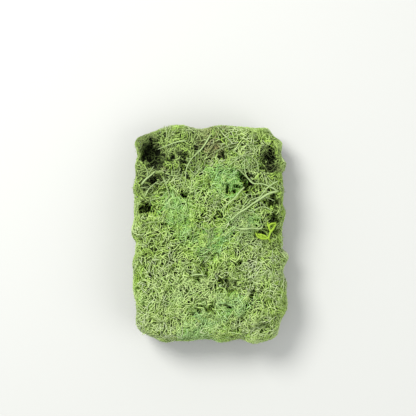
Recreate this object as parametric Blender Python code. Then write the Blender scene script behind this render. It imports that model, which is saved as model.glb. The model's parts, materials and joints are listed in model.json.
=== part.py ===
"""Reindeer moss clump: a hand-sized cushion of tangled lichen tufts, lying on its flattened underside.

Each tuft is one solid: a small domed core, and forked sprigs that stand out of it all round.
The cores meet at flat facets with a thin gap, as tufts do when they are pressed together.
Metres, +Z up, +Y along the clump. The origin is the middle of the flat spot that it rests on.
"""

import math
import random
from collections import namedtuple

import bmesh
import bpy
import numpy as np
from mathutils import Matrix, Quaternion, Vector
from mathutils.bvhtree import BVHTree

MM = 0.001

# The whole clump, from tip to tip
CLUMP_WIDTH = 114 * MM
CLUMP_LENGTH = 164 * MM
CLUMP_HEIGHT = 46 * MM
PRESSED_SQUARE = 4.5  # power of the outline: 2 is an ellipse, and more is nearer a rectangle
LOWEST_TIP = 0.6 * MM  # no tip reaches lower, so the clump rests on its flat spots

# The cores
SPRIG_DEPTH = 12.5 * MM  # from a core's skin to the clump's outside
CORE_SPREAD = 0.86  # the cores' middles lie this much nearer the clump's middle than the tufts
SQUEEZE_FROM = 0.72  # share of the outline at which the cores start to be pressed in
TUFT_GAP = 0.3 * MM
NEIGHBOUR_REACH = 58 * MM

# A sprig: a stem that forks in three limbs, which fork in three tips each
STEM_RADIUS = 1.9 * MM
NECK_RADIUS = 1.5 * MM
LIMB_RADIUS = 1.05 * MM
TIP_RADIUS = 0.6 * MM  # of a tip halfway along, for the clearance test
ROOT_SUNK = 1.8 * MM
STEM_SHARE = 0.30
LIMB_SHARE = 0.42
TIP_SHARE = 0.42
LIMB_LEAN = 58.0
TIP_LEAN = 46.0
SHORTEST_SPRIG = 6.5 * MM
LONGEST_SPRIG = 17.5 * MM
SPRIG_SPACING = 6.1 * MM
STUB_SPACING = 7.2 * MM
CLEARANCE = 0.35 * MM
SAMPLES_PER_LIMB = 5
TRIES = 8
DARTS = 750
SEED = 26

# Where the side of a core becomes its underside, as the height of the skin's outward normal
UNDER_NORMAL = -0.35

Tuft = namedtuple("Tuft", "name colour x y half_width half_length top foot")
Finish = namedtuple("Finish", "colour roughness")
Stalk = namedtuple("Stalk", "tuft path thick thin shoots")

FINISHES = {
    "mint_green": Finish((0.23, 0.46, 0.20), 0.85),
    "leaf_green": Finish((0.32, 0.47, 0.14), 0.85),
    "yellow_green": Finish((0.42, 0.55, 0.16), 0.85),
    "olive_green": Finish((0.27, 0.34, 0.12), 0.88),
    "pale_green": Finish((0.45, 0.56, 0.27), 0.85),
    "lime_green": Finish((0.42, 0.75, 0.03), 0.75),
}

# Middle, half sizes, height of the highest tips and of the core's lowest point, in millimetres.
# A core that would reach under the surface is cut flat there, and the clump rests on it.
TUFTS = [
    Tuft("corner_tuft_low", "olive_green", -43, 70, 15, 14, 31, 7),
    Tuft("open_tuft_top_left", "leaf_green", -20, 62, 17, 17, 44, 6),
    Tuft("olive_tuft_top", "olive_green", 3, 65, 16, 16, 43, 6),
    Tuft("pale_tuft_top_right", "pale_green", 25, 63, 17, 17, 46, 6),
    Tuft("olive_tuft_right_edge", "olive_green", 46, 58, 16, 17, 35, 7),
    Tuft("olive_tuft_left_shoulder", "olive_green", -43, 36, 18, 20, 41, 6),
    Tuft("leaf_tuft_shoulder", "leaf_green", -17, 39, 17, 17, 45, -2.5),
    Tuft("mint_tuft_upper", "mint_green", 12, 40, 18, 17, 45, -2.5),
    Tuft("pale_tuft_right_shoulder", "pale_green", 41, 31, 18, 18, 45, 6),
    Tuft("mint_tuft_left", "mint_green", -27, 15, 19, 17, 45, 5),
    Tuft("leaf_tuft_centre", "leaf_green", 1, 18, 17, 16, 44, 5),
    Tuft("mint_tuft_right", "mint_green", 27, 12, 18, 16, 44, 5),
    Tuft("olive_tuft_left_edge", "olive_green", -41, -11, 20, 20, 43, 6),
    Tuft("mint_tuft_centre", "mint_green", -1, -5, 19, 17, 46, -2.5),
    Tuft("dark_tuft_right_edge", "olive_green", 49, -4, 15, 18, 35, 7),
    Tuft("olive_tuft_right", "pale_green", 32, -25, 20, 18, 44, -2.5),
    Tuft("yellow_tuft_left", "yellow_green", -37, -40, 19, 18, 46, -2.5),
    Tuft("yellow_tuft_centre", "yellow_green", -10, -34, 19, 18, 45, 5),
    Tuft("mint_tuft_low_right", "leaf_green", 18, -48, 18, 16, 44, 5),
    Tuft("pale_tuft_bottom_left", "pale_green", -37, -68, 20, 16, 43, 7),
    Tuft("mint_tuft_bottom", "mint_green", -7, -66, 18, 15, 44, 6),
    Tuft("pale_tuft_bottom_right", "pale_green", 33, -69, 24, 16, 42, 7),
]

# Long bare stalks that lie over the tufts, each from the core that it grows out of
STALKS = [
    Stalk("pale_tuft_right_shoulder",
          [(33, 28, 22), (44, 36, 34), (47, 34, 42), (36, 27, 43.5), (25, 19, 43), (15, 10, 42)],
          1.6, 0.8, [(0.45, 60), (0.62, -50), (0.84, 45)]),
    Stalk("pale_tuft_right_shoulder",
          [(31, 28, 22), (29, 36, 37), (28, 42, 42), (22, 50, 43.5), (18, 56, 43.5)],
          1.4, 0.8, [(0.7, 50)]),
    Stalk("olive_tuft_left_shoulder",
          [(-34, 29, 20), (-44, 35, 33), (-50, 40, 39), (-45, 47, 41), (-38, 52, 41)],
          1.6, 0.9, [(0.6, -60), (0.85, 55)]),
    Stalk("leaf_tuft_shoulder",
          [(-15, 34, 22), (-18, 41, 38), (-15, 51, 43), (-8, 60, 43.5), (-2, 69, 42)],
          1.3, 0.8, [(0.55, 50), (0.8, -50)]),
]

# The one bright sprig, hooked over the gap at the right edge, in millimetres
LIME_CARRIER = "dark_tuft_right_edge"
LIME_SEAT_GAP = 0.35 * MM
LIME_PATH = [(44.5, 4.5, 24), (48.6, 8.4, 34), (48.4, 7.4, 40.5), (46.6, 4.0, 42.8), (44.2, 0.8, 43.2),
             (43.4, -2.6, 43), (38.5, -3.1, 42.8), (35.1, -1.2, 43), (34.4, 0.9, 42.6)]
LIME_BRANCHES = [
    [(45.3, 2.5, 43.0), (43.3, 5.2, 43.5), (43.7, 7.9, 43.6), (46.0, 9.0, 43.2)],
    [(42.6, -2.8, 42.9), (41.2, -0.6, 43.0), (38.4, 0.4, 43.2), (36.6, 0.3, 42.8)],
]
LIME_THICK = 1.05 * MM
LIME_THIN = 0.6 * MM


def clear_scene():
    """Removes the objects that Blender starts with."""
    for obj in list(bpy.data.objects):
        bpy.data.objects.remove(obj)


def material(name):
    """The Principled material of one colour of moss."""
    made = bpy.data.materials.new(name)
    made.use_nodes = True
    shader = made.node_tree.nodes["Principled BSDF"]
    shader.inputs["Base Color"].default_value = (*FINISHES[name].colour, 1.0)
    shader.inputs["Roughness"].default_value = FINISHES[name].roughness
    return made


def outline_share(x, y, half_width, half_length):
    """0 in the middle of the pressed outline, 1 on it."""
    power = PRESSED_SQUARE
    return (abs(x / half_width) ** power + abs(y / half_length) ** power) ** (1 / power)


def in_clump(point, top):
    """Whether a tip stays inside the clump's outside shape, under its own tuft's top."""
    share = outline_share(point.x, point.y, CLUMP_WIDTH / 2, CLUMP_LENGTH / 2)
    if share > 1 or point.z > top or point.z < LOWEST_TIP:
        return False
    middle = CLUMP_HEIGHT / 2
    above = (point.z - middle) / (CLUMP_HEIGHT - middle)
    below = (middle - point.z) / middle
    corner = max(above, below, 0.0)
    # The side is rounded: a quarter of the outline is lost where the side meets top and bottom.
    return share < 1 - 0.16 * corner ** 4


def squeeze(co):
    """Presses a core's vertex in, so that the outer cores keep a sprig's depth to the outline."""
    half_width = CLUMP_WIDTH / 2 - SPRIG_DEPTH
    half_length = CLUMP_LENGTH / 2 - SPRIG_DEPTH
    share = outline_share(co.x, co.y, half_width, half_length)
    if share <= SQUEEZE_FROM:
        return co
    room = 1 - SQUEEZE_FROM
    pressed = SQUEEZE_FROM + room * (1 - math.exp(-(share - SQUEEZE_FROM) / room))
    return Vector((co.x * pressed / share, co.y * pressed / share, co.z))


def cut_away(bm, point, normal):
    """Cuts off what lies on the normal's side of a plane, and closes the cut."""
    cut = bmesh.ops.bisect_plane(bm, geom=bm.verts[:] + bm.edges[:] + bm.faces[:], dist=1e-6,
                                 plane_co=point, plane_no=normal, clear_outer=True)
    rim = [part for part in cut["geom_cut"] if isinstance(part, bmesh.types.BMEdge)]
    if rim:
        bmesh.ops.edgeloop_fill(bm, edges=rim)


def core_middle(tuft):
    """The middle of a tuft's core, on the surface."""
    return Vector((tuft.x, tuft.y, 0)) * CORE_SPREAD * MM


def meeting_planes(tuft):
    """The planes halfway to the neighbouring cores, each as (point, direction to the neighbour)."""
    here = core_middle(tuft)
    planes = []
    for other in TUFTS:
        apart = core_middle(other) - here
        if other is not tuft and apart.length < NEIGHBOUR_REACH:
            planes.append((here + apart / 2, apart))
    return planes


def core_of(tuft):
    """A tuft's core: a low-poly mound, pressed in at the outline and cut flat where it meets its neighbours."""
    core_top = tuft.top * MM - SPRIG_DEPTH
    foot = tuft.foot * MM
    middle = core_middle(tuft)
    bm = bmesh.new()
    bmesh.ops.create_icosphere(bm, subdivisions=2, radius=1.0)
    for vert in bm.verts:
        co = vert.co
        vert.co = squeeze(Vector((
            middle.x + co.x * tuft.half_width * MM,
            middle.y + co.y * tuft.half_length * MM,
            (core_top + foot) / 2 + co.z * (core_top - foot) / 2)))
    for halfway, apart in meeting_planes(tuft):
        cut_away(bm, halfway - apart.normalized() * TUFT_GAP / 2, apart)
    if foot < 0:
        cut_away(bm, Vector((0, 0, 0)), Vector((0, 0, -1)))
    bmesh.ops.dissolve_degenerate(bm, dist=0.4 * MM, edges=bm.edges[:])
    bmesh.ops.triangulate(bm, faces=bm.faces[:])
    bmesh.ops.recalc_face_normals(bm, faces=bm.faces[:])
    return bm


def lengthen(bm, face, end, radius):
    """Extrudes a face to a point, turned to face the way it goes and brought to a radius."""
    centre = face.calc_center_median()
    face.normal_update()
    turn = face.normal.rotation_difference(end - centre)
    offsets = [(turn @ (vert.co - centre)).normalized() * radius for vert in face.verts]
    grown = bmesh.ops.extrude_discrete_faces(bm, faces=[face])["faces"][0]
    for vert, offset in zip(grown.verts, offsets):
        vert.co = end + offset
    return grown


def sharpen(bm, face, end):
    """Draws a face out to a point."""
    apex = bmesh.ops.poke(bm, faces=[face])["verts"][0]
    apex.co = end


def forks(bm, face, axis, lean, length, rng):
    """Splits a face in three and gives, for each third, its face and the point that its branch grows to."""
    centre = face.calc_center_median()
    thirds = bmesh.ops.poke(bm, faces=[face])["faces"]
    grown = []
    for third in thirds:
        outward = (third.calc_center_median() - centre).normalized()
        angle = math.radians(lean * rng.uniform(0.75, 1.2))
        way = axis * math.cos(angle) + outward * math.sin(angle)
        grown.append((third, centre + way * length * rng.uniform(0.8, 1.15)))
    return grown


def sprig(root, axis, length, spin, levels, rng):
    """A forked sprig as its own closed mesh, with its limbs as (start, end, radius)."""
    bm = bmesh.new()
    stem_length = length * STEM_SHARE + ROOT_SUNK
    start = root - axis * ROOT_SUNK
    place = (Matrix.Translation(start) @ axis.to_track_quat("Z", "Y").to_matrix().to_4x4()
             @ Matrix.Rotation(spin, 4, "Z") @ Matrix.Translation((0, 0, stem_length / 2)))
    bmesh.ops.create_cone(bm, cap_ends=True, segments=3, radius1=STEM_RADIUS,
                          radius2=NECK_RADIUS, depth=stem_length, matrix=place)
    bm.normal_update()
    top = max(bm.faces, key=lambda face: face.calc_center_median().dot(axis)
              + (1.0 if len(face.verts) == 3 else 0.0))
    neck = top.calc_center_median()
    limbs = [(start, neck, STEM_RADIUS)]
    if levels == 1:
        for third, end in forks(bm, top, axis, LIMB_LEAN, length * (1 - STEM_SHARE), rng):
            sharpen(bm, third, end)
            limbs.append((neck, end, TIP_RADIUS))
        return bm, limbs
    for third, end in forks(bm, top, axis, LIMB_LEAN, length * LIMB_SHARE, rng):
        way = (end - neck).normalized()
        limb = lengthen(bm, third, end, LIMB_RADIUS)
        limbs.append((neck, end, LIMB_RADIUS))
        for tip_face, tip in forks(bm, limb, way, TIP_LEAN, length * TIP_SHARE, rng):
            sharpen(bm, tip_face, tip)
            limbs.append((end, tip, TIP_RADIUS))
    return bm, limbs


def shoot_of(path, share, angle, length, radius):
    """Where a side shoot leaves a path: its root, direction, length and radius."""
    place = share * (len(path) - 1)
    index = min(int(place), len(path) - 2)
    along = path[index + 1] - path[index]
    root = path[index] + along * (place - index)
    side = Quaternion((0, 0, 1), math.radians(angle)) @ along.normalized()
    return root, (side + Vector((0, 0, 0.08))).normalized(), length, radius


def tube(path, thick, thin, sides=4):
    """A tapering branch along a path, as a closed mesh, with its limbs."""
    bm = bmesh.new()
    way = path[1] - path[0]
    place = (Matrix.Translation(path[0]) @ way.to_track_quat("Z", "Y").to_matrix().to_4x4()
             @ Matrix.Translation((0, 0, way.length / 2)))
    bmesh.ops.create_cone(bm, cap_ends=True, segments=sides, radius1=thick, radius2=thick,
                          depth=way.length, matrix=place)
    bm.normal_update()
    face = max(bm.faces, key=lambda f: (f.calc_center_median() - path[0]).dot(way))
    limbs = [(path[0], path[1], thick)]
    for step, end in enumerate(path[2:], start=1):
        radius = thick + (thin - thick) * step / (len(path) - 2)
        limbs.append((path[step], end, radius))
        face = lengthen(bm, face, end, radius)
    return bm, limbs


class Room:
    """What already takes up space: the cores, and the limbs of every branch that has grown."""

    def __init__(self, cores):
        self.trees = {name: BVHTree.FromBMesh(bm) for name, bm in cores.items()}
        self.starts = np.zeros((0, 3))
        self.ends = np.zeros((0, 3))
        self.radii = np.zeros(0)
        self.owners = np.zeros(0, dtype=object)

    def take(self, limbs, owner):
        """Keeps the space of these limbs from now on."""
        self.starts = np.vstack([self.starts, [limb[0] for limb in limbs]])
        self.ends = np.vstack([self.ends, [limb[1] for limb in limbs]])
        self.radii = np.concatenate([self.radii, [limb[2] for limb in limbs]])
        self.owners = np.concatenate([self.owners, np.array([owner] * len(limbs), dtype=object)])

    def clear_of_limbs(self, points, radii, own):
        """Whether points on a branch stay clear of every other tuft's limbs.

        Limbs of one tuft may run into each other, as the union makes one body of them.
        """
        middles = (self.starts + self.ends) / 2
        near = np.abs(middles - points[0]).max(1) < 1.7 * LONGEST_SPRIG
        others = near & (self.owners != own)
        if not others.any():
            return True
        starts = self.starts[others]
        along = self.ends[others] - starts
        length_sq = (along ** 2).sum(1)
        away = points[:, None, :] - starts[None, :, :]
        share = np.clip((away * along).sum(2) / length_sq, 0, 1)
        gap = np.linalg.norm(away - share[..., None] * along, axis=2)
        return bool((gap > self.radii[others] + radii[:, None] + CLEARANCE).all())

    def clear_of_cores(self, points, radii, own):
        """Whether points on a branch stay clear of the other tufts' cores."""
        for tuft in TUFTS:
            apart = core_middle(tuft) - Vector(points[0])
            if tuft.name == own or apart.to_2d().length > 2.4 * LONGEST_SPRIG:
                continue
            for point, radius in zip(points, radii):
                near, normal, _, gap = self.trees[tuft.name].find_nearest(Vector(point), 0.02)
                if near is None:
                    continue
                if gap < radius + CLEARANCE or (Vector(point) - near).dot(normal) < 0:
                    return False
        return True

    def fits(self, limbs, own):
        """Whether a whole branch finds room."""
        shares = np.linspace(0, 1, SAMPLES_PER_LIMB)[:, None]
        points = np.vstack([np.array(start) * (1 - shares) + np.array(end) * shares
                            for start, end, _ in limbs])
        radii = np.repeat([radius for _, _, radius in limbs], SAMPLES_PER_LIMB)
        return self.clear_of_limbs(points, radii, own) and self.clear_of_cores(points, radii, own)


def skin_points(bm, centre, count, rng):
    """Random places on a core's outer skin, as (point, outward direction), evenly by area."""
    faces = [face for face in bm.faces if abs(face.normal.z) > 1e-4 or face.calc_area() < 1e-4]
    areas = [face.calc_area() for face in faces]
    found = []
    for face in rng.choices(faces, weights=areas, k=count):
        a, b = sorted((rng.random(), rng.random()))
        corners = [vert.co for vert in face.verts]
        point = corners[0] * a + corners[1] * (b - a) + corners[2] * (1 - b)
        outward = (point - centre).normalized()
        found.append((point, (face.normal * 0.6 + outward * 0.4).normalized(), face.normal.copy()))
    return found


def on_contact_face(normal, point, tuft):
    """Whether this part of the skin is the flat facet towards a neighbour, or the resting spot."""
    if tuft.foot < 0 and point.z < 0.2 * MM:
        return True
    return any(abs((point - halfway).dot(apart.normalized())) < TUFT_GAP
               and normal.dot(apart.normalized()) > 0.99
               for halfway, apart in meeting_planes(tuft))


def reach_outside(point, axis, top):
    """How far it is from a point to the clump's outside."""
    reach = 0.0
    while reach < LONGEST_SPRIG and in_clump(point + axis * reach, top):
        reach += 0.5 * MM
    return reach


def grow_sprigs(tuft, core, room, roots, rng):
    """Grows a tuft's sprigs into the room that is left, and gives their meshes."""
    top = tuft.top * MM
    centre = core_middle(tuft) + Vector((0, 0, top * 0.4))
    grown = []
    for point, outward, normal in skin_points(core, centre, DARTS, rng):
        if on_contact_face(normal, point, tuft):
            continue
        under = outward.z < UNDER_NORMAL
        spacing = STUB_SPACING if under else SPRIG_SPACING
        if any((point - other).length < spacing for other in roots):
            continue
        for attempt in range(TRIES):
            share = attempt / TRIES
            lean = Vector([rng.uniform(-0.3, 0.3) for _ in range(3)])
            axis = (outward + lean * (0.5 + share)).normalized()
            reach = reach_outside(point, axis, top) * rng.uniform(1.0, 1.2) * (1 - 0.4 * share)
            if reach < SHORTEST_SPRIG * (0.6 if under else 1.0):
                continue
            levels = 1 if under or reach < 9 * MM else 2
            mesh, limbs = sprig(point, axis, reach, rng.uniform(0, math.tau), levels, rng)
            inside = all(in_clump(end, top) for _, end, _ in limbs[1:])
            if inside and room.fits(limbs, tuft.name):
                room.take(limbs, tuft.name)
                roots.append(point)
                grown.append(mesh)
                break
            mesh.free()
    return grown


def grow_stalk(stalk, room, rng):
    """A long bare stalk with its side shoots, as meshes."""
    path = [Vector(point) * MM for point in stalk.path]
    mesh, limbs = tube(path, stalk.thick * MM, stalk.thin * MM)
    meshes = [mesh]
    room.take(limbs, stalk.tuft)
    for share, angle in stalk.shoots:
        root, axis, length, _ = shoot_of(path, share, angle, 8 * MM, stalk.thin * MM)
        shoot, shoot_limbs = sprig(root, axis, length, rng.uniform(0, math.tau), 1, rng)
        meshes.append(shoot)
        room.take(shoot_limbs, stalk.tuft)
    return meshes


def as_object(bm, name, collection):
    """Makes a mesh object of a bmesh and frees it."""
    mesh = bpy.data.meshes.new(name)
    bmesh.ops.triangulate(bm, faces=bm.faces[:])
    bm.to_mesh(mesh)
    bm.free()
    obj = bpy.data.objects.new(name, mesh)
    collection.objects.link(obj)
    return obj


def centre_over_origin(objects):
    """Moves the meshes along the surface, so that the clump's box is centred on the origin."""
    corners = np.array([vert.co for obj in objects for vert in obj.data.vertices])
    middle = (corners.min(0) + corners.max(0)) / 2
    for obj in objects:
        obj.data.transform(Matrix.Translation((-middle[0], -middle[1], 0)))


def joined(name, body, growths, collection, finish):
    """One solid of a body and everything that grows out of it."""
    node = as_object(body, name, collection)
    pieces = bpy.data.collections.new(name + "_growth")
    bpy.context.scene.collection.children.link(pieces)
    for index, growth in enumerate(growths):
        as_object(growth, f"{name}_growth_{index}", pieces)
    union = node.modifiers.new("growth", "BOOLEAN")
    union.operation = "UNION"
    union.operand_type = "COLLECTION"
    union.collection = pieces
    union.solver = "MANIFOLD"
    bpy.context.view_layer.update()
    graph = bpy.context.evaluated_depsgraph_get()
    solid = bpy.data.meshes.new_from_object(node.evaluated_get(graph))
    node.modifiers.clear()
    node.data = solid
    for obj in list(pieces.objects):
        bpy.data.objects.remove(obj)
    bpy.data.collections.remove(pieces)
    node.data.materials.clear()
    node.data.materials.append(finish)
    return node


def lime_sprig(room):
    """The bright hooked sprig: a main branch with two side branches, seated on its carrier's skin."""
    path = [Vector(point) * MM for point in LIME_PATH]
    seat, upright, _, _ = room.trees[LIME_CARRIER].find_nearest(path[0])
    path[0] = seat + upright * LIME_SEAT_GAP
    path.insert(1, path[0] + upright * 3.5 * MM)
    body, limbs = tube(path, LIME_THICK, LIME_THIN)
    growths = []
    for branch in LIME_BRANCHES:
        mesh, more = tube([Vector(point) * MM for point in branch], LIME_THICK * 0.8, LIME_THIN)
        growths.append(mesh)
        limbs += more
    room.take(limbs, "lime_sprig")
    return body, growths


def main():
    """Builds the whole clump."""
    clear_scene()
    rng = random.Random(SEED)
    clump = bpy.data.collections.new("reindeer_moss_clump")
    bpy.context.scene.collection.children.link(clump)
    finishes = {name: material(name) for name in FINISHES}
    cores = {tuft.name: core_of(tuft) for tuft in TUFTS}
    room = Room(cores)
    growths = {tuft.name: [] for tuft in TUFTS}
    lime_body, lime_growths = lime_sprig(room)
    for stalk in STALKS:
        growths[stalk.tuft] += grow_stalk(stalk, room, rng)
    roots = []
    for tuft in TUFTS:
        growths[tuft.name] += grow_sprigs(tuft, cores[tuft.name], room, roots, rng)
    for tuft in TUFTS:
        joined(tuft.name, cores[tuft.name], growths[tuft.name], clump, finishes[tuft.colour])
    joined("lime_sprig", lime_body, lime_growths, clump, finishes["lime_green"])
    centre_over_origin(clump.objects)
    for obj in clump.objects:
        print(obj.name, len(obj.data.polygons), "faces")


main()
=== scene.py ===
"""Dresses the reindeer moss clump with its fine forked strands, and sets it in a plain pale studio.

The strands of all the tufts grow together, so that they tangle without running through each other.
They start deep in the cushion, fork again and again on their way out, and near the outside they turn
and run along it, as lichen does that has been pressed flat. Growth is worked out in millimetres in
the frame of the part, and meshes are made in metres.
"""

import json
import logging
import math
from dataclasses import dataclass, field
from enum import Enum

import bpy
import numpy as np
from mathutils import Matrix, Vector

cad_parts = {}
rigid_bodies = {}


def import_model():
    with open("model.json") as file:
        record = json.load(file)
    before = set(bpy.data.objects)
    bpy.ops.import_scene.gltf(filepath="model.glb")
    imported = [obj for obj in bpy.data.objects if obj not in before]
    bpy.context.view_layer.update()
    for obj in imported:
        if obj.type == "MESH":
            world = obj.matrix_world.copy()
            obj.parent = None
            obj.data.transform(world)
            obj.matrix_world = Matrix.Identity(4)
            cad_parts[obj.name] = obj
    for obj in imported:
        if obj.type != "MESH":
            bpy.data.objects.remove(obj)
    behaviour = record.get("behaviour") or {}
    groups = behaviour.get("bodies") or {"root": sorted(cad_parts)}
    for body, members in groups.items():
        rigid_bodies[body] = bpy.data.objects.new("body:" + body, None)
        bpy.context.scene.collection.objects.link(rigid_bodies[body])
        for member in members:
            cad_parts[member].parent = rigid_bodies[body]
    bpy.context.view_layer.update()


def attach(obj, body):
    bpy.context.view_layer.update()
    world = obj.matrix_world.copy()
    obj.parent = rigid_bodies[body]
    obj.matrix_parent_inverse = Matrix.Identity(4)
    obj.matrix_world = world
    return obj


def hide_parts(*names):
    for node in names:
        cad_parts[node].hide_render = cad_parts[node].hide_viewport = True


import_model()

log = logging.getLogger("reindeer_moss")

MM = 0.001
SEED = 4071
# What is added or kept so that nothing is divided by zero, and so that a cross product never vanishes
TINY = 1e-9
TILT = 1e-6


class Shade(Enum):
    """The named greens that the tufts come in."""

    MINT = "mint_green"
    LEAF = "leaf_green"
    YELLOW = "yellow_green"
    OLIVE = "olive_green"
    PALE = "pale_green"
    LIME = "lime_green"


def unit(vectors: np.ndarray) -> np.ndarray:
    """The vectors at length one."""
    return vectors / np.maximum(np.linalg.norm(vectors, axis=-1, keepdims=True), TINY)


def blend(low: np.ndarray | float, high: np.ndarray | float, share: np.ndarray | float) -> np.ndarray:
    """The value that lies this share of the way from low to high."""
    return low + (high - low) * share


def dot(first: np.ndarray, second: np.ndarray) -> np.ndarray:
    """The dot product of each pair of rows, kept as a column."""
    return (first * second).sum(-1, keepdims=True)


def turned(vectors: np.ndarray, axes: np.ndarray, angles: np.ndarray) -> np.ndarray:
    """Turns each vector about its own axis.

    Args:
        vectors: The vectors, one a row.
        axes: Unit axes, one a row.
        angles: Angles in radians.

    Returns:
        The turned vectors.
    """
    cosine, sine = np.cos(angles)[:, None], np.sin(angles)[:, None]
    return vectors * cosine + np.cross(axes, vectors) * sine + axes * dot(axes, vectors) * (1 - cosine)


def between(values: np.ndarray, limits: tuple[float, float]) -> np.ndarray:
    """Whether each value lies between the limits."""
    return (values > limits[0]) & (values < limits[1])


def spaced(line: np.ndarray, spacing: float, least: int, more: int = 0) -> tuple[np.ndarray, ...]:
    """Takes even steps along a line.

    Args:
        line: The points that the line runs through.
        spacing: About how far apart the places are.
        least: The least number of places.
        more: How many places there are beyond the line's length over the spacing.

    Returns:
        How far along the line each place lies, and the places.
    """
    run = np.concatenate([[0], np.cumsum(np.linalg.norm(np.diff(line, axis=0), axis=1))])
    steps = np.linspace(0, run[-1], max(least, round(run[-1] / spacing) + more))
    return steps, np.stack([np.interp(steps, run, line[:, axis]) for axis in range(line.shape[1])], 1)


def linked(name: str, data: bpy.types.ID) -> bpy.types.Object:
    """Makes an object of some data and links it into the scene.

    Args:
        name: The object's name.
        data: Its mesh, light or camera.

    Returns:
        The object.
    """
    made = bpy.data.objects.new(name, data)
    bpy.context.scene.collection.objects.link(made)
    return made


def shaded(
    name: str, roughness: float, specular: float = 0.5
) -> tuple[bpy.types.Material, bpy.types.Node]:
    """Makes a material with one shader.

    Args:
        name: The material's name.
        roughness: How rough it is.
        specular: How strongly it reflects.

    Returns:
        The material, and its shader.
    """
    made = bpy.data.materials.new(name)
    made.use_nodes = True
    shader = made.node_tree.nodes["Principled BSDF"]
    shader.inputs["Roughness"].default_value = roughness
    shader.inputs["Specular IOR Level"].default_value = specular
    return made, shader


@dataclass(frozen=True)
class Green:
    """One step of the range of greens, from brown to mint and the grey of bare stalks, as linear colours.

    A strand takes the near-black deep colour where its tone is low: partly the real darker old growth
    inside, and partly painted shade deep in the tangle and down in its hollows. It has its full colour on
    the branches and is pale at the tips.
    """

    place: float
    deep: tuple[float, float, float]
    body: tuple[float, float, float]
    tip: tuple[float, float, float]


# The deep column is near black: painted shade, over the real darker colour of old growth.
GREENS = (
    Green(0.0, (0.024, 0.022, 0.013), (0.258, 0.240, 0.088), (0.366, 0.362, 0.190)),
    Green(0.2, (0.025, 0.032, 0.014), (0.245, 0.322, 0.100), (0.360, 0.416, 0.240)),
    Green(0.4, (0.033, 0.049, 0.015), (0.290, 0.412, 0.108), (0.390, 0.460, 0.260)),
    Green(0.6, (0.045, 0.078, 0.013), (0.336, 0.518, 0.070), (0.426, 0.545, 0.188)),
    Green(0.8, (0.038, 0.075, 0.014), (0.264, 0.480, 0.072), (0.362, 0.500, 0.208)),
    Green(1.0, (0.034, 0.078, 0.015), (0.202, 0.456, 0.077), (0.298, 0.484, 0.192)),
    Green(1.2, (0.022, 0.034, 0.012), (0.205, 0.282, 0.100), (0.298, 0.388, 0.166)),
)


@dataclass(frozen=True)
class MossFinish:
    """The finish of one slot: a stretch of the moss's greens, or greens of its own."""

    slot: Shade
    low: float
    high: float
    greens: tuple[Green, ...] = GREENS
    roughness: float = 0.88
    specular: float = 0.22
    body_place: float = 0.45
    steps: int = 9

    def colour(self, stage: str, place: float) -> tuple[float, ...]:
        """The colour at a place in the range of greens.

        Args:
            stage: Which stage of the greens to take: deep, body or tip.
            place: The place, from the first green's to the last one's.

        Returns:
            The colour, linear.
        """
        places = [green.place for green in self.greens]
        channels = zip(*(getattr(green, stage) for green in self.greens), strict=True)
        return tuple(float(np.interp(place, places, channel)) for channel in channels)

    def ramp(self, tree: bpy.types.NodeTree, stage: str, hue: bpy.types.NodeSocket) -> bpy.types.NodeSocket:
        """Adds the ramp of one stage's colours along the slot's stretch of greens.

        Args:
            tree: The material's nodes.
            stage: Which stage of the greens to take.
            hue: The socket that says where in the stretch a strand lies.

        Returns:
            The ramp's colour socket.
        """
        node = tree.nodes.new("ShaderNodeValToRGB")
        stops = node.color_ramp.elements
        for step in range(self.steps):
            share = step / (self.steps - 1)
            stop = stops[0] if step == 0 else stops[-1] if step == self.steps - 1 else stops.new(share)
            stop.position = share
            stop.color = (*self.colour(stage, blend(self.low, self.high, share)), 1.0)
        tree.links.new(hue, node.inputs["Fac"])
        return node.outputs["Color"]

    def mix(
        self, tree: bpy.types.NodeTree, tone: bpy.types.NodeSocket, span: tuple[float, float],
        low: bpy.types.NodeSocket, high: bpy.types.NodeSocket,
    ) -> bpy.types.NodeSocket:
        """Adds a mix of two colours over a span of tones.

        Args:
            tree: The material's nodes.
            tone: The socket that gives 0 deep inside and 1 at a tip.
            span: The tones where the mix starts and ends.
            low: The colour below the span.
            high: The colour above it.

        Returns:
            The mixed colour's socket.
        """
        reach = tree.nodes.new("ShaderNodeMapRange")
        reach.inputs["From Min"].default_value, reach.inputs["From Max"].default_value = span
        tree.links.new(tone, reach.inputs["Value"])
        node = tree.nodes.new("ShaderNodeMix")
        node.data_type = "RGBA"
        tree.links.new(reach.outputs["Result"], node.inputs["Factor"])
        tree.links.new(low, node.inputs["A"])
        tree.links.new(high, node.inputs["B"])
        return node.outputs["Result"]

    def material(self) -> bpy.types.Material:
        """Makes the finish as a material that reads each strand's tone and hue.

        Returns:
            The material.
        """
        made, shader = shaded(self.slot.value, self.roughness, self.specular)
        tree = made.node_tree
        tone = tree.nodes.new("ShaderNodeAttribute")
        tone.attribute_name = "tone"
        hue = tree.nodes.new("ShaderNodeAttribute")
        hue.attribute_name = "hue"
        deep, body, tip = (self.ramp(tree, stage, hue.outputs["Fac"]) for stage in ("deep", "body", "tip"))
        shade = self.mix(tree, tone.outputs["Fac"], (0.0, self.body_place), deep, body)
        shade = self.mix(tree, tone.outputs["Fac"], (self.body_place, 1.0), shade, tip)
        tree.links.new(shade, shader.inputs["Base Color"])
        return made


LIME_GREENS = (
    Green(0.0, (0.05, 0.08, 0.006), (0.200, 0.290, 0.014), (0.265, 0.385, 0.030)),
    Green(1.0, (0.04, 0.08, 0.006), (0.130, 0.230, 0.014), (0.210, 0.355, 0.030)),
)

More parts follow.
